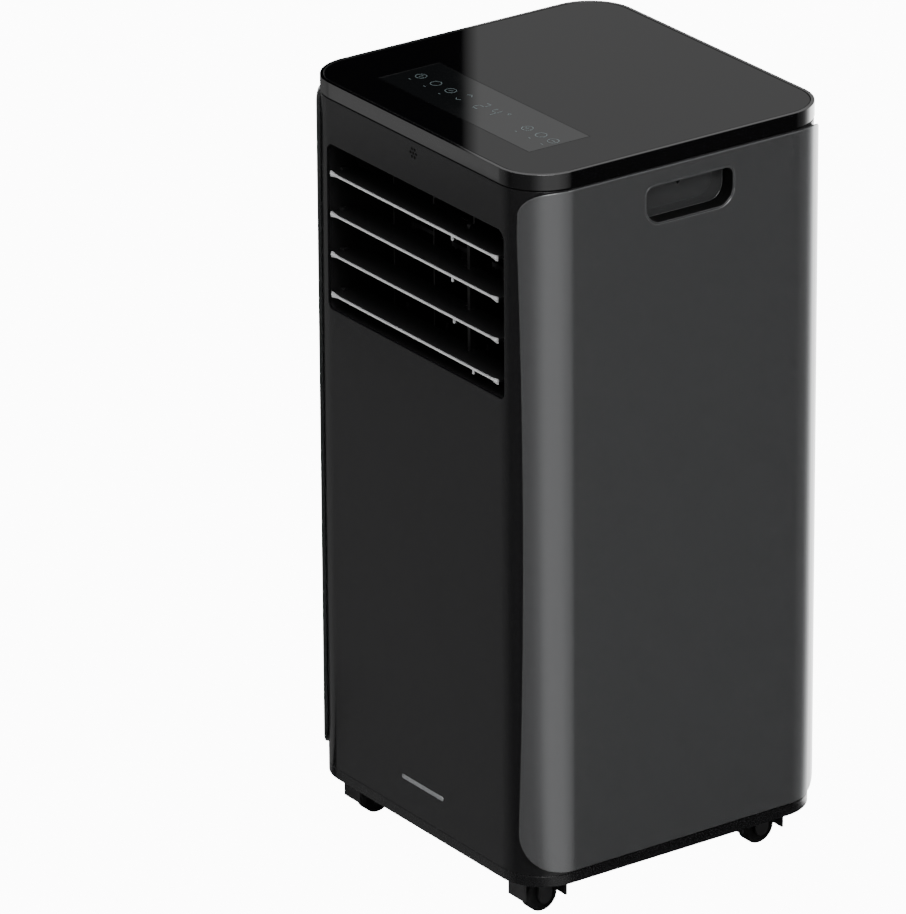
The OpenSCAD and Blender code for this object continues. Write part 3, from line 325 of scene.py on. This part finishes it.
MAKERS = {
    "base_plastic": base_abs, "housing_plastic": housing_abs, "panel_finish": panel_paint,
    "lid_plastic": lid_abs, "black_glass": lid_glass, "tinted_lens": smoked_lens,
    "circuit_board": solder_mask, "blackened_steel": black_steel,
    "deck_plastic": deck_plastic, "duct_plastic": duct_abs, "motor_plastic": motor_abs,
    "bright_trim": trim_chrome, "coil_aluminium": fin_aluminium, "foam_board": foam_board,
    "fan_plastic": fan_plastic, "motor_steel": zinc_steel, "compressor_shell": shell_paint,
    "foot_rubber": soft_rubber, "copper_tube": copper, "filter_mesh": filter_nylon,
    "caster_nylon": nylon, "wheel_rubber": tread_rubber,
}
MATERIALS = {slot: make() for slot, make in MAKERS.items()}
PLATE = plate_print()
INK = icon_print()
PAINTED_SHADE_BLACK = painted_shade_black()


def dress_cad():
    """Gives every CAD node the material of its record slot."""
    for name, obj in NODES.items():
        obj.data.materials.clear()
        obj.data.materials.append(MATERIALS[SLOT_OF[name]])


# ---------------------------------------------------------------- meshes

def mesh_object(name, bm, mat):
    """Turns a bmesh into a scene object, smooth except at its sharp edges."""
    mesh = bpy.data.meshes.new(name)
    bm.to_mesh(mesh)
    bm.free()
    mesh.materials.append(mat)
    obj = bpy.data.objects.new(name, mesh)
    bpy.context.scene.collection.objects.link(obj)
    soften(obj)
    return obj


def soften(obj):
    """Smooth shading that keeps the sharp edges."""
    mesh = obj.data
    mesh.polygons.foreach_set("use_smooth", [True] * len(mesh.polygons))
    bm = bmesh.new()
    bm.from_mesh(mesh)
    for edge in bm.edges:
        edge.smooth = (len(edge.link_faces) == 2
                       and edge.calc_face_angle() < math.radians(SMOOTH_BELOW))
    bm.to_mesh(mesh)
    bm.free()


def finish_modifiers(obj):
    """Applies an object's modifiers and leaves a plain mesh."""
    graph = bpy.context.evaluated_depsgraph_get()
    mesh = bpy.data.meshes.new_from_object(obj.evaluated_get(graph))
    obj.modifiers.clear()
    old = obj.data
    obj.data = mesh
    bpy.data.meshes.remove(old)


def mount(obj, body, slot, *replaced):
    """Rides a finished piece on its body and hides the CAD nodes it stands for. The slot argument
    is not used.
    """
    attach(obj, body)
    if replaced:
        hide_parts(*replaced)


def plan_wall(point, half_x, half_y, radius):
    """How far a point is from a rounded-rectangle wall, and which way is out there."""
    dx = abs(point.x) - (half_x - radius)
    dy = abs(point.y) - (half_y - radius)
    out = Vector((max(dx, 0), max(dy, 0), 0))
    gap = abs(out.length - radius)
    out = out.normalized() if out.length else Vector((1, 0, 0))
    return gap, Vector((math.copysign(out.x, point.x), math.copysign(out.y, point.y), 0))


def rounded_copy(node, width, plan):
    """A copy of a CAD node with its sharp edges rounded, and exact wall normals where it has a
    rounded-rectangle plan."""
    obj = bpy.data.objects.new(node + "_moulding", NODES[node].data.copy())
    bpy.context.scene.collection.objects.link(obj)
    bm = bmesh.new()
    bm.from_mesh(obj.data)
    bmesh.ops.remove_doubles(bm, verts=bm.verts, dist=WELD)
    bmesh.ops.dissolve_limit(bm, angle_limit=math.radians(0.5), verts=bm.verts, edges=bm.edges)
    for face in bm.faces:
        face.smooth = True
    bm.to_mesh(obj.data)
    bm.free()
    bevel = obj.modifiers.new("edge_rounding", "BEVEL")
    bevel.width = width
    bevel.segments = 2
    bevel.limit_method = "ANGLE"
    bevel.angle_limit = math.radians(ROUND_ABOVE)
    bevel.use_clamp_overlap = False
    flat = obj.modifiers.new("flat_faces_stay_flat", "WEIGHTED_NORMAL")
    flat.weight = 100
    finish_modifiers(obj)
    if plan:
        true_walls(obj, *plan)
    return obj


def true_walls(obj, half_x, half_y, radius):
    """Sets exact normals on the upright outer wall of a rounded-rectangle plan."""
    mesh = obj.data
    on_wall = 0.03 * MM
    walls = [plan_wall(vert.co, half_x, half_y, radius) for vert in mesh.vertices]
    normals = [Vector(corner.vector) for corner in mesh.corner_normals]
    for face in mesh.polygons:
        if all(walls[v][0] < on_wall for v in face.vertices):
            for index in face.loop_indices:
                normals[index] = walls[mesh.loops[index].vertex_index][1]
    mesh.normals_split_custom_set(normals)


# ---------------------------------------------------------------- camera, floor and light

def camera():
    """A long lens from the handle side, in front of and above the object."""
    azimuth, elevation, roll = (math.radians(a) for a in (VIEW_AZIMUTH, 22.836, -0.383))
    back = Vector((math.sin(azimuth) * math.cos(elevation),
                   -math.cos(azimuth) * math.cos(elevation), math.sin(elevation)))
    right = Vector((math.cos(azimuth), math.sin(azimuth), 0))
    up = back.cross(right)
    turned_right = right * math.cos(roll) + up * math.sin(roll)
    turned_up = -right * math.sin(roll) + up * math.cos(roll)
    data = bpy.data.cameras.new("camera")
    data.lens = 355.1
    data.sensor_width = 36
    data.clip_end = 60
    cam = bpy.data.objects.new("camera", data)
    middle = Vector((0, 0, 0.3546))
    place = middle + back * 7.876 - right * 0.0993
    cam.matrix_world = Matrix((
        (turned_right.x, turned_up.x, back.x, place.x),
        (turned_right.y, turned_up.y, back.y, place.y),
        (turned_right.z, turned_up.z, back.z, place.z),
        (0, 0, 0, 1)))
    bpy.context.scene.collection.objects.link(cam)
    bpy.context.scene.camera = cam


def floor():
    """Paper floor that the camera does not see, and a white surround that only it sees."""
    # Seamless studio paper: pale, matt, with a faint tooth.
    mat, tree, shader = surface("seamless_paper", "#f4f4f4", 0.95, Specular_IOR_Level=0.1)
    grain(tree, shader, 3 * MM, 0.02 * MM)
    bm = bmesh.new()
    bmesh.ops.create_grid(bm, x_segments=1, y_segments=1, size=PAPER_HALF)
    paper = mesh_object("studio_floor", bm, mat)
    paper.visible_camera = False

    # White surround that only the camera sees: it stands in for an overexposed white studio.
    glow = bpy.data.materials.new("overexposed_white")
    glow.use_nodes = True
    tree = glow.node_tree
    tree.nodes.clear()
    light = add(tree, "ShaderNodeEmission", {"Strength": SURROUND_GLOW})
    add(tree, "ShaderNodeOutputMaterial", {"Surface": light.outputs[0]})
    bm = bmesh.new()
    bmesh.ops.create_icosphere(bm, subdivisions=4, radius=SURROUND_RADIUS)
    bmesh.ops.bisect_plane(bm, geom=bm.verts[:] + bm.edges[:] + bm.faces[:], plane_co=(0, 0, 0),
                           plane_no=(0, 0, 1), clear_inner=True)
    bmesh.ops.holes_fill(bm, edges=[e for e in bm.edges if e.is_boundary])
    room = mesh_object("white_surround", bm, glow)
    room.visible_diffuse = room.visible_glossy = room.visible_transmission = False
    room.visible_shadow = False


def area_light(name, place, aim, size, power):
    """A soft rectangular light that points at a place."""
    data = bpy.data.lights.new(name, "AREA")
    data.shape = "RECTANGLE"
    data.size, data.size_y = size
    data.energy = power
    light = bpy.data.objects.new(name, data)
    place = Vector(place)
    turn = (Vector(aim) - place).to_track_quat("-Z", "Y")
    light.matrix_world = turn.to_matrix().to_4x4()
    light.matrix_world.translation = place
    bpy.context.scene.collection.objects.link(light)


def reflector(name, corners, glows):
    """A card that only mirrors see. Each corner has its own brightness."""
    mat = bpy.data.materials.new(name)
    mat.use_nodes = True
    tree = mat.node_tree
    tree.nodes.clear()
    glow = add(tree, "ShaderNodeAttribute", attribute_name="glow")
    light = add(tree, "ShaderNodeEmission", {"Strength": glow.outputs["Fac"]})
    add(tree, "ShaderNodeOutputMaterial", {"Surface": light.outputs[0]})
    mesh = bpy.data.meshes.new(name)
    count = len(corners) // 4
    mesh.from_pydata(corners, [], [tuple(range(4 * i, 4 * i + 4)) for i in range(count)])
    mesh.attributes.new("glow", "FLOAT", "POINT").data.foreach_set("value", glows)
    mesh.materials.append(mat)
    card = bpy.data.objects.new(name, mesh)
    bpy.context.scene.collection.objects.link(card)
    card.visible_camera = card.visible_diffuse = card.visible_shadow = False
    card.visible_transmission = False


def fan_card(name, centre, stops, radii, height):
    """A card over the floor, whose brightness runs with the compass direction from its centre.
    Each stop is a direction in degrees and the brightness there."""
    corners, glows = [], []
    for (a0, g0), (a1, g1) in zip(stops, stops[1:]):
        steps = max(1, round((a1 - a0) / 6))
        for i in range(steps):
            turns = [math.radians(a0 + (a1 - a0) * (i + k) / steps) for k in (0, 1)]
            levels = [g0 + (g1 - g0) * (i + k) / steps for k in (0, 1)]
            for radius, side in zip(radii + radii[::-1], (0, 0, 1, 1)):
                corners.append(Vector((centre[0] + radius * math.cos(turns[side]),
                                       centre[1] + radius * math.sin(turns[side]), height)))
                glows.append(levels[side])
    reflector(name, corners, glows)


def corner_glows(panel_box):
    """Fans of light on the floor for the side panels' upright corners to mirror."""
    reach, inset = 2.6, 44.5 * MM
    front_turn = (panel_box[1].x, panel_box[0].y + inset)
    rear_turn = (panel_box[1].x, panel_box[1].y - inset)
    left_turn = (-front_turn[0], front_turn[1])
    fan_card("front_corner_glow", front_turn,
             [(-150, 0.26), (-128, 0.2), (-112, 0.06), (-100, 0.09), (-62, 0.13), (-58, 0.18),
              (-52, 0.25), (-45, 0.37), (-39, 0.45), (-33, 0.54), (-27, 0.58), (-1, 0.56),
              (5, 0.5), (12, 0.42), (19, 0.34), (26, 0.22), (33, 0.08), (35, DIM)],
             [0.001, reach], 0.002)
    fan_card("rear_corner_glow", rear_turn,
             [(44, DIM), (47, 0.09), (56, 0.13), (64, 0.22), (72, 0.5), (80, 1.2), (88, 2.5),
              (96, 5), (130, 5), (134, 0.0)],
             [0.12, reach], 0.002)
    fan_card("left_corner_glow", left_turn,
             [(130, 0.03), (165, 0.08), (185, 0.16), (200, 0.24), (224, 0.26)],
             [0.001, reach], 0.002)


def front_strips(case_box):
    """Grey strip out from the front face, and an end that only the lid is high enough to mirror.
    Past their sides the rounded corners of the housing turn black."""
    eye = bpy.context.scene.camera.matrix_world.translation
    edges = []
    for x in (case_box[0].x + 30 * MM, case_box[1].x - 32 * MM):
        foot = Vector((x, case_box[0].y, 0.003))
        edges.append((foot, Vector((foot.x - eye.x, eye.y - foot.y, 0)).normalized()))
    (left, left_out), (right, right_out) = edges
    for name, near, far, near_glow, far_glow in (("front_strip", 0.0, 1.1, 0.26, 0.26),
                                                 ("front_strip_end", 1.1, 1.72, 0.26, 0.1),
                                                 ("lid_strip", 1.76, 2.4, 0.42, 0.3)):
        reflector(name, [left + left_out * near, right + right_out * near,
                         right + right_out * far, left + left_out * far],
                  [near_glow, near_glow, far_glow, far_glow])


def black_flag():
    """Upright flag behind the object, with a soft edge, that blackens the lid's far left."""
    azimuth = math.radians(VIEW_AZIMUTH)
    right = Vector((math.cos(azimuth), math.sin(azimuth), 0))
    foot = Vector((-math.sin(azimuth), math.cos(azimuth), 0)) * 1.6
    low, high = Vector((0, 0, 0.7)), Vector((0, 0, 2.4))
    stops = [(-2.0, 0.0), (-0.088, 0.0), (-0.07, ROOM)]
    corners, glows = [], []
    for (x0, g0), (x1, g1) in zip(stops, stops[1:]):
        left_edge, right_edge = foot + right * x0, foot + right * x1
        corners += [left_edge + low, right_edge + low, right_edge + high, left_edge + high]
        glows += [g0, g1, g1, g0]
    reflector("black_flag", corners, glows)


def studio():
    """Pale floor, white room, soft key from the right and a few cards for the gloss."""
    floor()
    world = bpy.data.worlds.new("white_room")
    world.use_nodes = True
    air = world.node_tree.nodes["Background"].inputs
    air["Color"].default_value = (1, 1, 1, 1)
    air["Strength"].default_value = ROOM
    bpy.context.scene.world = world
    area_light("key", (2.6, -1.2, 3.0), (0, 0, 0.3), (2.0, 2.0), 90)
    area_light("top", (0, 0, 4.0), (0, 0, 0), (4.0, 4.0), 120)

    # Floor as the glossy pieces see it: bright in front of the handle side, dark behind it.
    whole = ((-3, -3), (3, -3), (3, 3), (-3, 3))
    reflector("dark_floor", [Vector((x, y, 0.001)) for x, y in whole], [DIM] * 4)
    corner_glows(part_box("right_side_panel"))
    front_strips(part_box("front_housing"))
    black_flag()


# ---------------------------------------------------------------- small pieces

def bar_row_tree():
    """A row of equal bars: how many, where the first is, the step between them and their size."""
    tree = bpy.data.node_groups.new("bar_row", "GeometryNodeTree")
    for name, kind in (("Count", "Int"), ("First", "Vector"), ("Step", "Vector"),
                       ("Size", "Vector"), ("Finish", "Material")):
        tree.interface.new_socket(name, in_out="INPUT", socket_type="NodeSocket" + kind)
    tree.interface.new_socket("Bars", in_out="OUTPUT", socket_type="NodeSocketGeometry")
    given = add(tree, "NodeGroupInput").outputs
    row = add(tree, "GeometryNodeMeshLine",
              {"Count": given["Count"], "Start Location": given["First"],
               "Offset": given["Step"]}, mode="OFFSET")
    bar = add(tree, "GeometryNodeMeshCube", {"Size": given["Size"]})
    bars = add(tree, "GeometryNodeInstanceOnPoints",
               {"Points": row.outputs[0], "Instance": bar.outputs[0]})
    real = add(tree, "GeometryNodeRealizeInstances", {"Geometry": bars.outputs[0]})
    finished = add(tree, "GeometryNodeSetMaterial",
                   {"Geometry": real.outputs[0], "Material": given["Finish"]})
    add(tree, "NodeGroupOutput", {"Bars": finished.outputs[0]})
    return tree


def bar_rows(name, rows, mat):
    """One mesh of several rows of bars, each row as (count, first, step, size)."""
    made = bpy.data.objects.new(name, bpy.data.meshes.new(name))
    bpy.context.scene.collection.objects.link(made)
    sockets = {item.name: item.identifier for item in BAR_ROW.interface.items_tree}
    bm = bmesh.new()
    for values in rows:
        row = made.modifiers.new("bars", "NODES")
        row.node_group = BAR_ROW
        for label, value in zip(("Count", "First", "Step", "Size", "Finish"), (*values, mat)):
            row[sockets[label]] = value
        graph = bpy.context.evaluated_depsgraph_get()
        mesh = bpy.data.meshes.new_from_object(made.evaluated_get(graph))
        bm.from_mesh(mesh)
        made.modifiers.remove(row)
        bpy.data.meshes.remove(mesh)
    bm.to_mesh(made.data)
    bm.free()
    made.data.materials.append(mat)
    return made


def coil_ends(node):
    """End plates and copper bends of a coil, without its core."""
    ends = bpy.data.objects.new(node + "_ends", NODES[node].data.copy())
    bpy.context.scene.collection.objects.link(ends)
    bm = bmesh.new()
    bm.from_mesh(ends.data)
    bmesh.ops.remove_doubles(bm, verts=bm.verts, dist=WELD)
    inside = COIL_HALF - 1.5 * MM
    core = [face for face in bm.faces if all(abs(vert.co.x) < inside for vert in face.verts)]
    bmesh.ops.delete(bm, geom=core, context="FACES")
    bmesh.ops.holes_fill(bm, edges=[edge for edge in bm.edges if edge.is_boundary])
    bend_from = COIL_HALF + 0.1 * MM
    for face in bm.faces:
        face.material_index = 1 if abs(face.calc_center_median().x) > bend_from else 0
    bm.to_mesh(ends.data)
    bm.free()
    ends.data.materials.append(MATERIALS["copper_tube"])
    soften(ends)
    mount(ends, "casing", "coil_aluminium")


def coil_fins(node):
    """Upright fins and the tube rows between the end plates of a coil."""
    low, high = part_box(node)
    mid = (low + high) / 2
    tall = high.z - low.z
    # Real fins are 0.1 mm thick and 1.5 mm apart; these are coarse enough to be seen.
    pitch, thick, depth = 2.2 * MM, 0.4 * MM, 24 * MM
    count = int(2 * (COIL_HALF - 3 * MM) / pitch)
    fins = (count, (-(count - 1) * pitch / 2, mid.y, mid.z), (pitch, 0, 0),
            (thick, depth, tall - 4 * MM))
    tube_pitch, tube = 26 * MM, 8 * MM
    tubes = (int(tall / tube_pitch), (0, mid.y, low.z + tube_pitch / 2), (0, 0, tube_pitch),
             (2 * COIL_HALF - 4 * MM, tube, tube))
    stack = bar_rows(node + "_fins", [fins, tubes], MATERIALS["coil_aluminium"])
    mount(stack, "casing", "coil_aluminium", node)


def air_filter():
    """Framed net of crossed threads in the intake cassette."""
    low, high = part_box("upper_filter")
    mid = (low + high) / 2
    size = high - low
    edge, rib, pitch, thread = 6 * MM, 3 * MM, 3 * MM, 0.5 * MM
    across, up = int(size.x / pitch), int(size.z / pitch)
    net_y = low.y + 1.9 * MM
    sides = (2, (low.x + edge / 2, mid.y, mid.z), (size.x - edge, 0, 0), (edge, size.y, size.z))
    ribs = (2, (low.x + size.x / 3, mid.y, mid.z), (size.x / 3, 0, 0), (rib, size.y, size.z))
    ends = (2, (mid.x, mid.y, low.z + edge / 2), (0, 0, size.z - edge),
            (size.x, size.y * 0.98, edge))
    warp = (across - 1, (low.x + pitch, net_y, mid.z), (pitch, 0, 0), (thread, thread, size.z))
    weft = (up - 1, (mid.x, net_y + thread, low.z + pitch), (0, 0, pitch),
            (size.x, thread, thread))
    net = bar_rows("intake_filter_net", [sides, ribs, ends, warp, weft],
                   MATERIALS["filter_mesh"])
    mount(net, "intake_cassette", "filter_mesh", "upper_filter")


def slab(bm, outline, low, high):
    """Closed prism between two heights on a plan outline that runs counter-clockwise."""
    bottom = [bm.verts.new((x, y, low)) for x, y in outline]
    top = [bm.verts.new((x, y, high)) for x, y in outline]
    bm.faces.new(reversed(bottom))
    bm.faces.new(top)
    for i, corner in enumerate(bottom):
        j = (i + 1) % len(bottom)
        bm.faces.new((corner, bottom[j], top[j], top[i]))


def stroke(bm, x, y, length, width, turn, low, high):
    """Straight stroke with round ends, about a middle, turned by an angle in degrees."""
    along = Vector((math.cos(math.radians(turn)), math.sin(math.radians(turn))))
    outline = []
    for end, start in ((1, turn - 90), (-1, turn + 90)):
        tip = Vector((x, y)) + along * end * (length - width) / 2
        for step in range(7):
            angle = math.radians(start + step * 30)
            outline.append(tip + Vector((math.cos(angle), math.sin(angle))) * width / 2)
    slab(bm, outline, low, high)


def ring(bm, x, y, radius, width, low, high):
    """Closed round stroke."""
    inner, outer = radius - width / 2, radius + width / 2
    steps = 24
    for step in range(steps):
        turns = [math.radians(360 * (step + k) / steps) for k in (0, 1)]
        corners = ((inner, turns[0]), (outer, turns[0]), (outer, turns[1]), (inner, turns[1]))
        slab(bm, [(x + r * math.cos(t), y + r * math.sin(t)) for r, t in corners], low, high)


def stand_up(bm, y, z):
    """Stands a mesh up against a front face at y and z. It is drawn lying face up, with its top
    towards -y."""
    stand = Matrix(((1, 0, 0, 0), (0, 0, -1, y), (0, -1, 0, z), (0, 0, 0, 1)))
    bmesh.ops.transform(bm, matrix=stand, verts=bm.verts)
    bmesh.ops.recalc_face_normals(bm, faces=bm.faces)


def display_marks():
    """Generic key marks and a two-figure reading, printed on the lens."""
    low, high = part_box("display_lens")
    mid = (low + high) / 2
    half = (high.x - low.x) / 2
    base, top = high.z, high.z + 0.1 * MM
    line = 0.7 * MM
    key, hand, lamp = 5 * MM, 4.6 * MM, 3.4 * MM
    bm = bmesh.new()

    # Round keys, some with strokes inside, and a small lamp under each
    for place, turns in ((-0.84, (90,)), (-0.64, ()), (-0.44, (45,)), (0.58, (0, 90)), (0.76, ()),
                         (0.92, (0,))):
        x = mid.x + place * half
        ring(bm, x, mid.y, key, line, base, top)
        for turn in turns:
            stroke(bm, x, mid.y, hand, line, turn, base, top)
        stroke(bm, x, mid.y - 12 * MM, lamp, line, 0, base, top)

    # Arrows up and down
    for side in (-1, 1):
        for lean in (-1, 1):
            stroke(bm, mid.x - 0.26 * half + lean * 1.7 * MM, mid.y + side * 7 * MM, hand,
                   line, -side * lean * 40, base, top)

    # Figures two and four, in seven segments, and a degree ring
    wide, tall = 7 * MM, 7.5 * MM
    for place, segments in ((-0.02, "abged"), (0.14, "fgbc")):
        x = mid.x + place * half
        where = {"a": (x, tall, 0), "g": (x, 0, 0), "d": (x, -tall, 0),
                 "b": (x + wide / 2, tall / 2, 90), "c": (x + wide / 2, -tall / 2, 90),
                 "f": (x - wide / 2, tall / 2, 90), "e": (x - wide / 2, -tall / 2, 90)}
        for name in segments:
            segment_x, rise, turn = where[name]
            stroke(bm, segment_x, mid.y + rise, wide - line, line, turn, base, top)
    ring(bm, mid.x + 0.25 * half, mid.y + tall, 1.4 * MM, line * 0.8, base, top)
    mount(mesh_object("display_key_marks", bm, INK), "casing", "tinted_lens")


def receiver_hole_painted_shade():
    """Painted shade: black plugs that fill the seven holes of the remote receiver, each with a thin
    rim, standing in for the shade inside the holes.
    """
    case_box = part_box("front_housing")
    across, spacing = 2.9 * MM, 4 * MM
    bm = bmesh.new()
    for hole in range(7):
        reach = 0 if hole == 6 else spacing
        turn = math.radians(60 * hole)
        stroke(bm, reach * math.cos(turn), -reach * math.sin(turn), across, across - 0.01 * MM, 0,
               -0.6 * MM, 0.04 * MM)
    stand_up(bm, case_box[0].y, case_box[1].z - 10.5 * MM)
    mount(mesh_object("receiver_hole_painted_shade", bm, PAINTED_SHADE_BLACK), "casing", "duct_plastic")


def nameplate():
    """Plain rounded bar low on the front face, with no mark on it."""
    across, tall, proud = 63 * MM, 4 * MM, 0.5 * MM
    aside, height = 6.5 * MM, 82 * MM
    bm = bmesh.new()
    stroke(bm, aside, -height, across, tall, 0, 0, proud)
    rim = [edge for edge in bm.edges
           if all(vert.co.z > 0.8 * proud for vert in edge.verts)]
    bmesh.ops.bevel(bm, geom=rim, offset=0.2 * MM, segments=2, affect="EDGES", profile=0.5)
    stand_up(bm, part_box("front_housing")[0].y + 0.1 * MM, 0)
    mount(mesh_object("plain_nameplate", bm, PLATE), "casing", "bright_trim")


# ---------------------------------------------------------------- build

BAR_ROW = bar_row_tree()

dress_cad()
camera()
studio()

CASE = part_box("front_housing")
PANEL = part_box("right_side_panel")
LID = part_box("top_cover")
CASE_PLAN = (CASE[1].x, -CASE[0].y, HOUSING_CORNER)
PANEL_PLAN = (PANEL[1].x, -PANEL[0].y, PANEL_CORNER)
LID_PLAN = (LID[1].x, LID[1].y, LID_CORNER)

for node, rounding, plan in (
        ("front_housing", 0.12 * MM, CASE_PLAN), ("rear_housing", 0.5 * MM, CASE_PLAN),
        ("left_side_panel", 0.7 * MM, PANEL_PLAN), ("right_side_panel", 0.7 * MM, PANEL_PLAN),
        ("base_tray", 0.6 * MM, CASE_PLAN), ("top_cover", 0.3 * MM, LID_PLAN),
        ("top_glass", 0.4 * MM, None), ("left_handle_cup", 0.4 * MM, None),
        ("right_handle_cup", 0.4 * MM, None)):
    piece = rounded_copy(node, rounding, plan)
    if node.endswith("handle_cup"):
        # Painted shade: the walls get a near-black that stands in for the shade inside the cup;
        # only the back is painted like the panel.
        piece.data.materials.append(PAINTED_SHADE_BLACK)
        for face in piece.data.polygons:
            face.material_index = 0 if abs(face.normal.x) > 0.8 else 1
    mount(piece, "casing", SLOT_OF[node], node)

for node in ("evaporator_coil", "condenser_coil"):
    coil_ends(node)
    coil_fins(node)
air_filter()
display_marks()
receiver_hole_painted_shade()
nameplate()
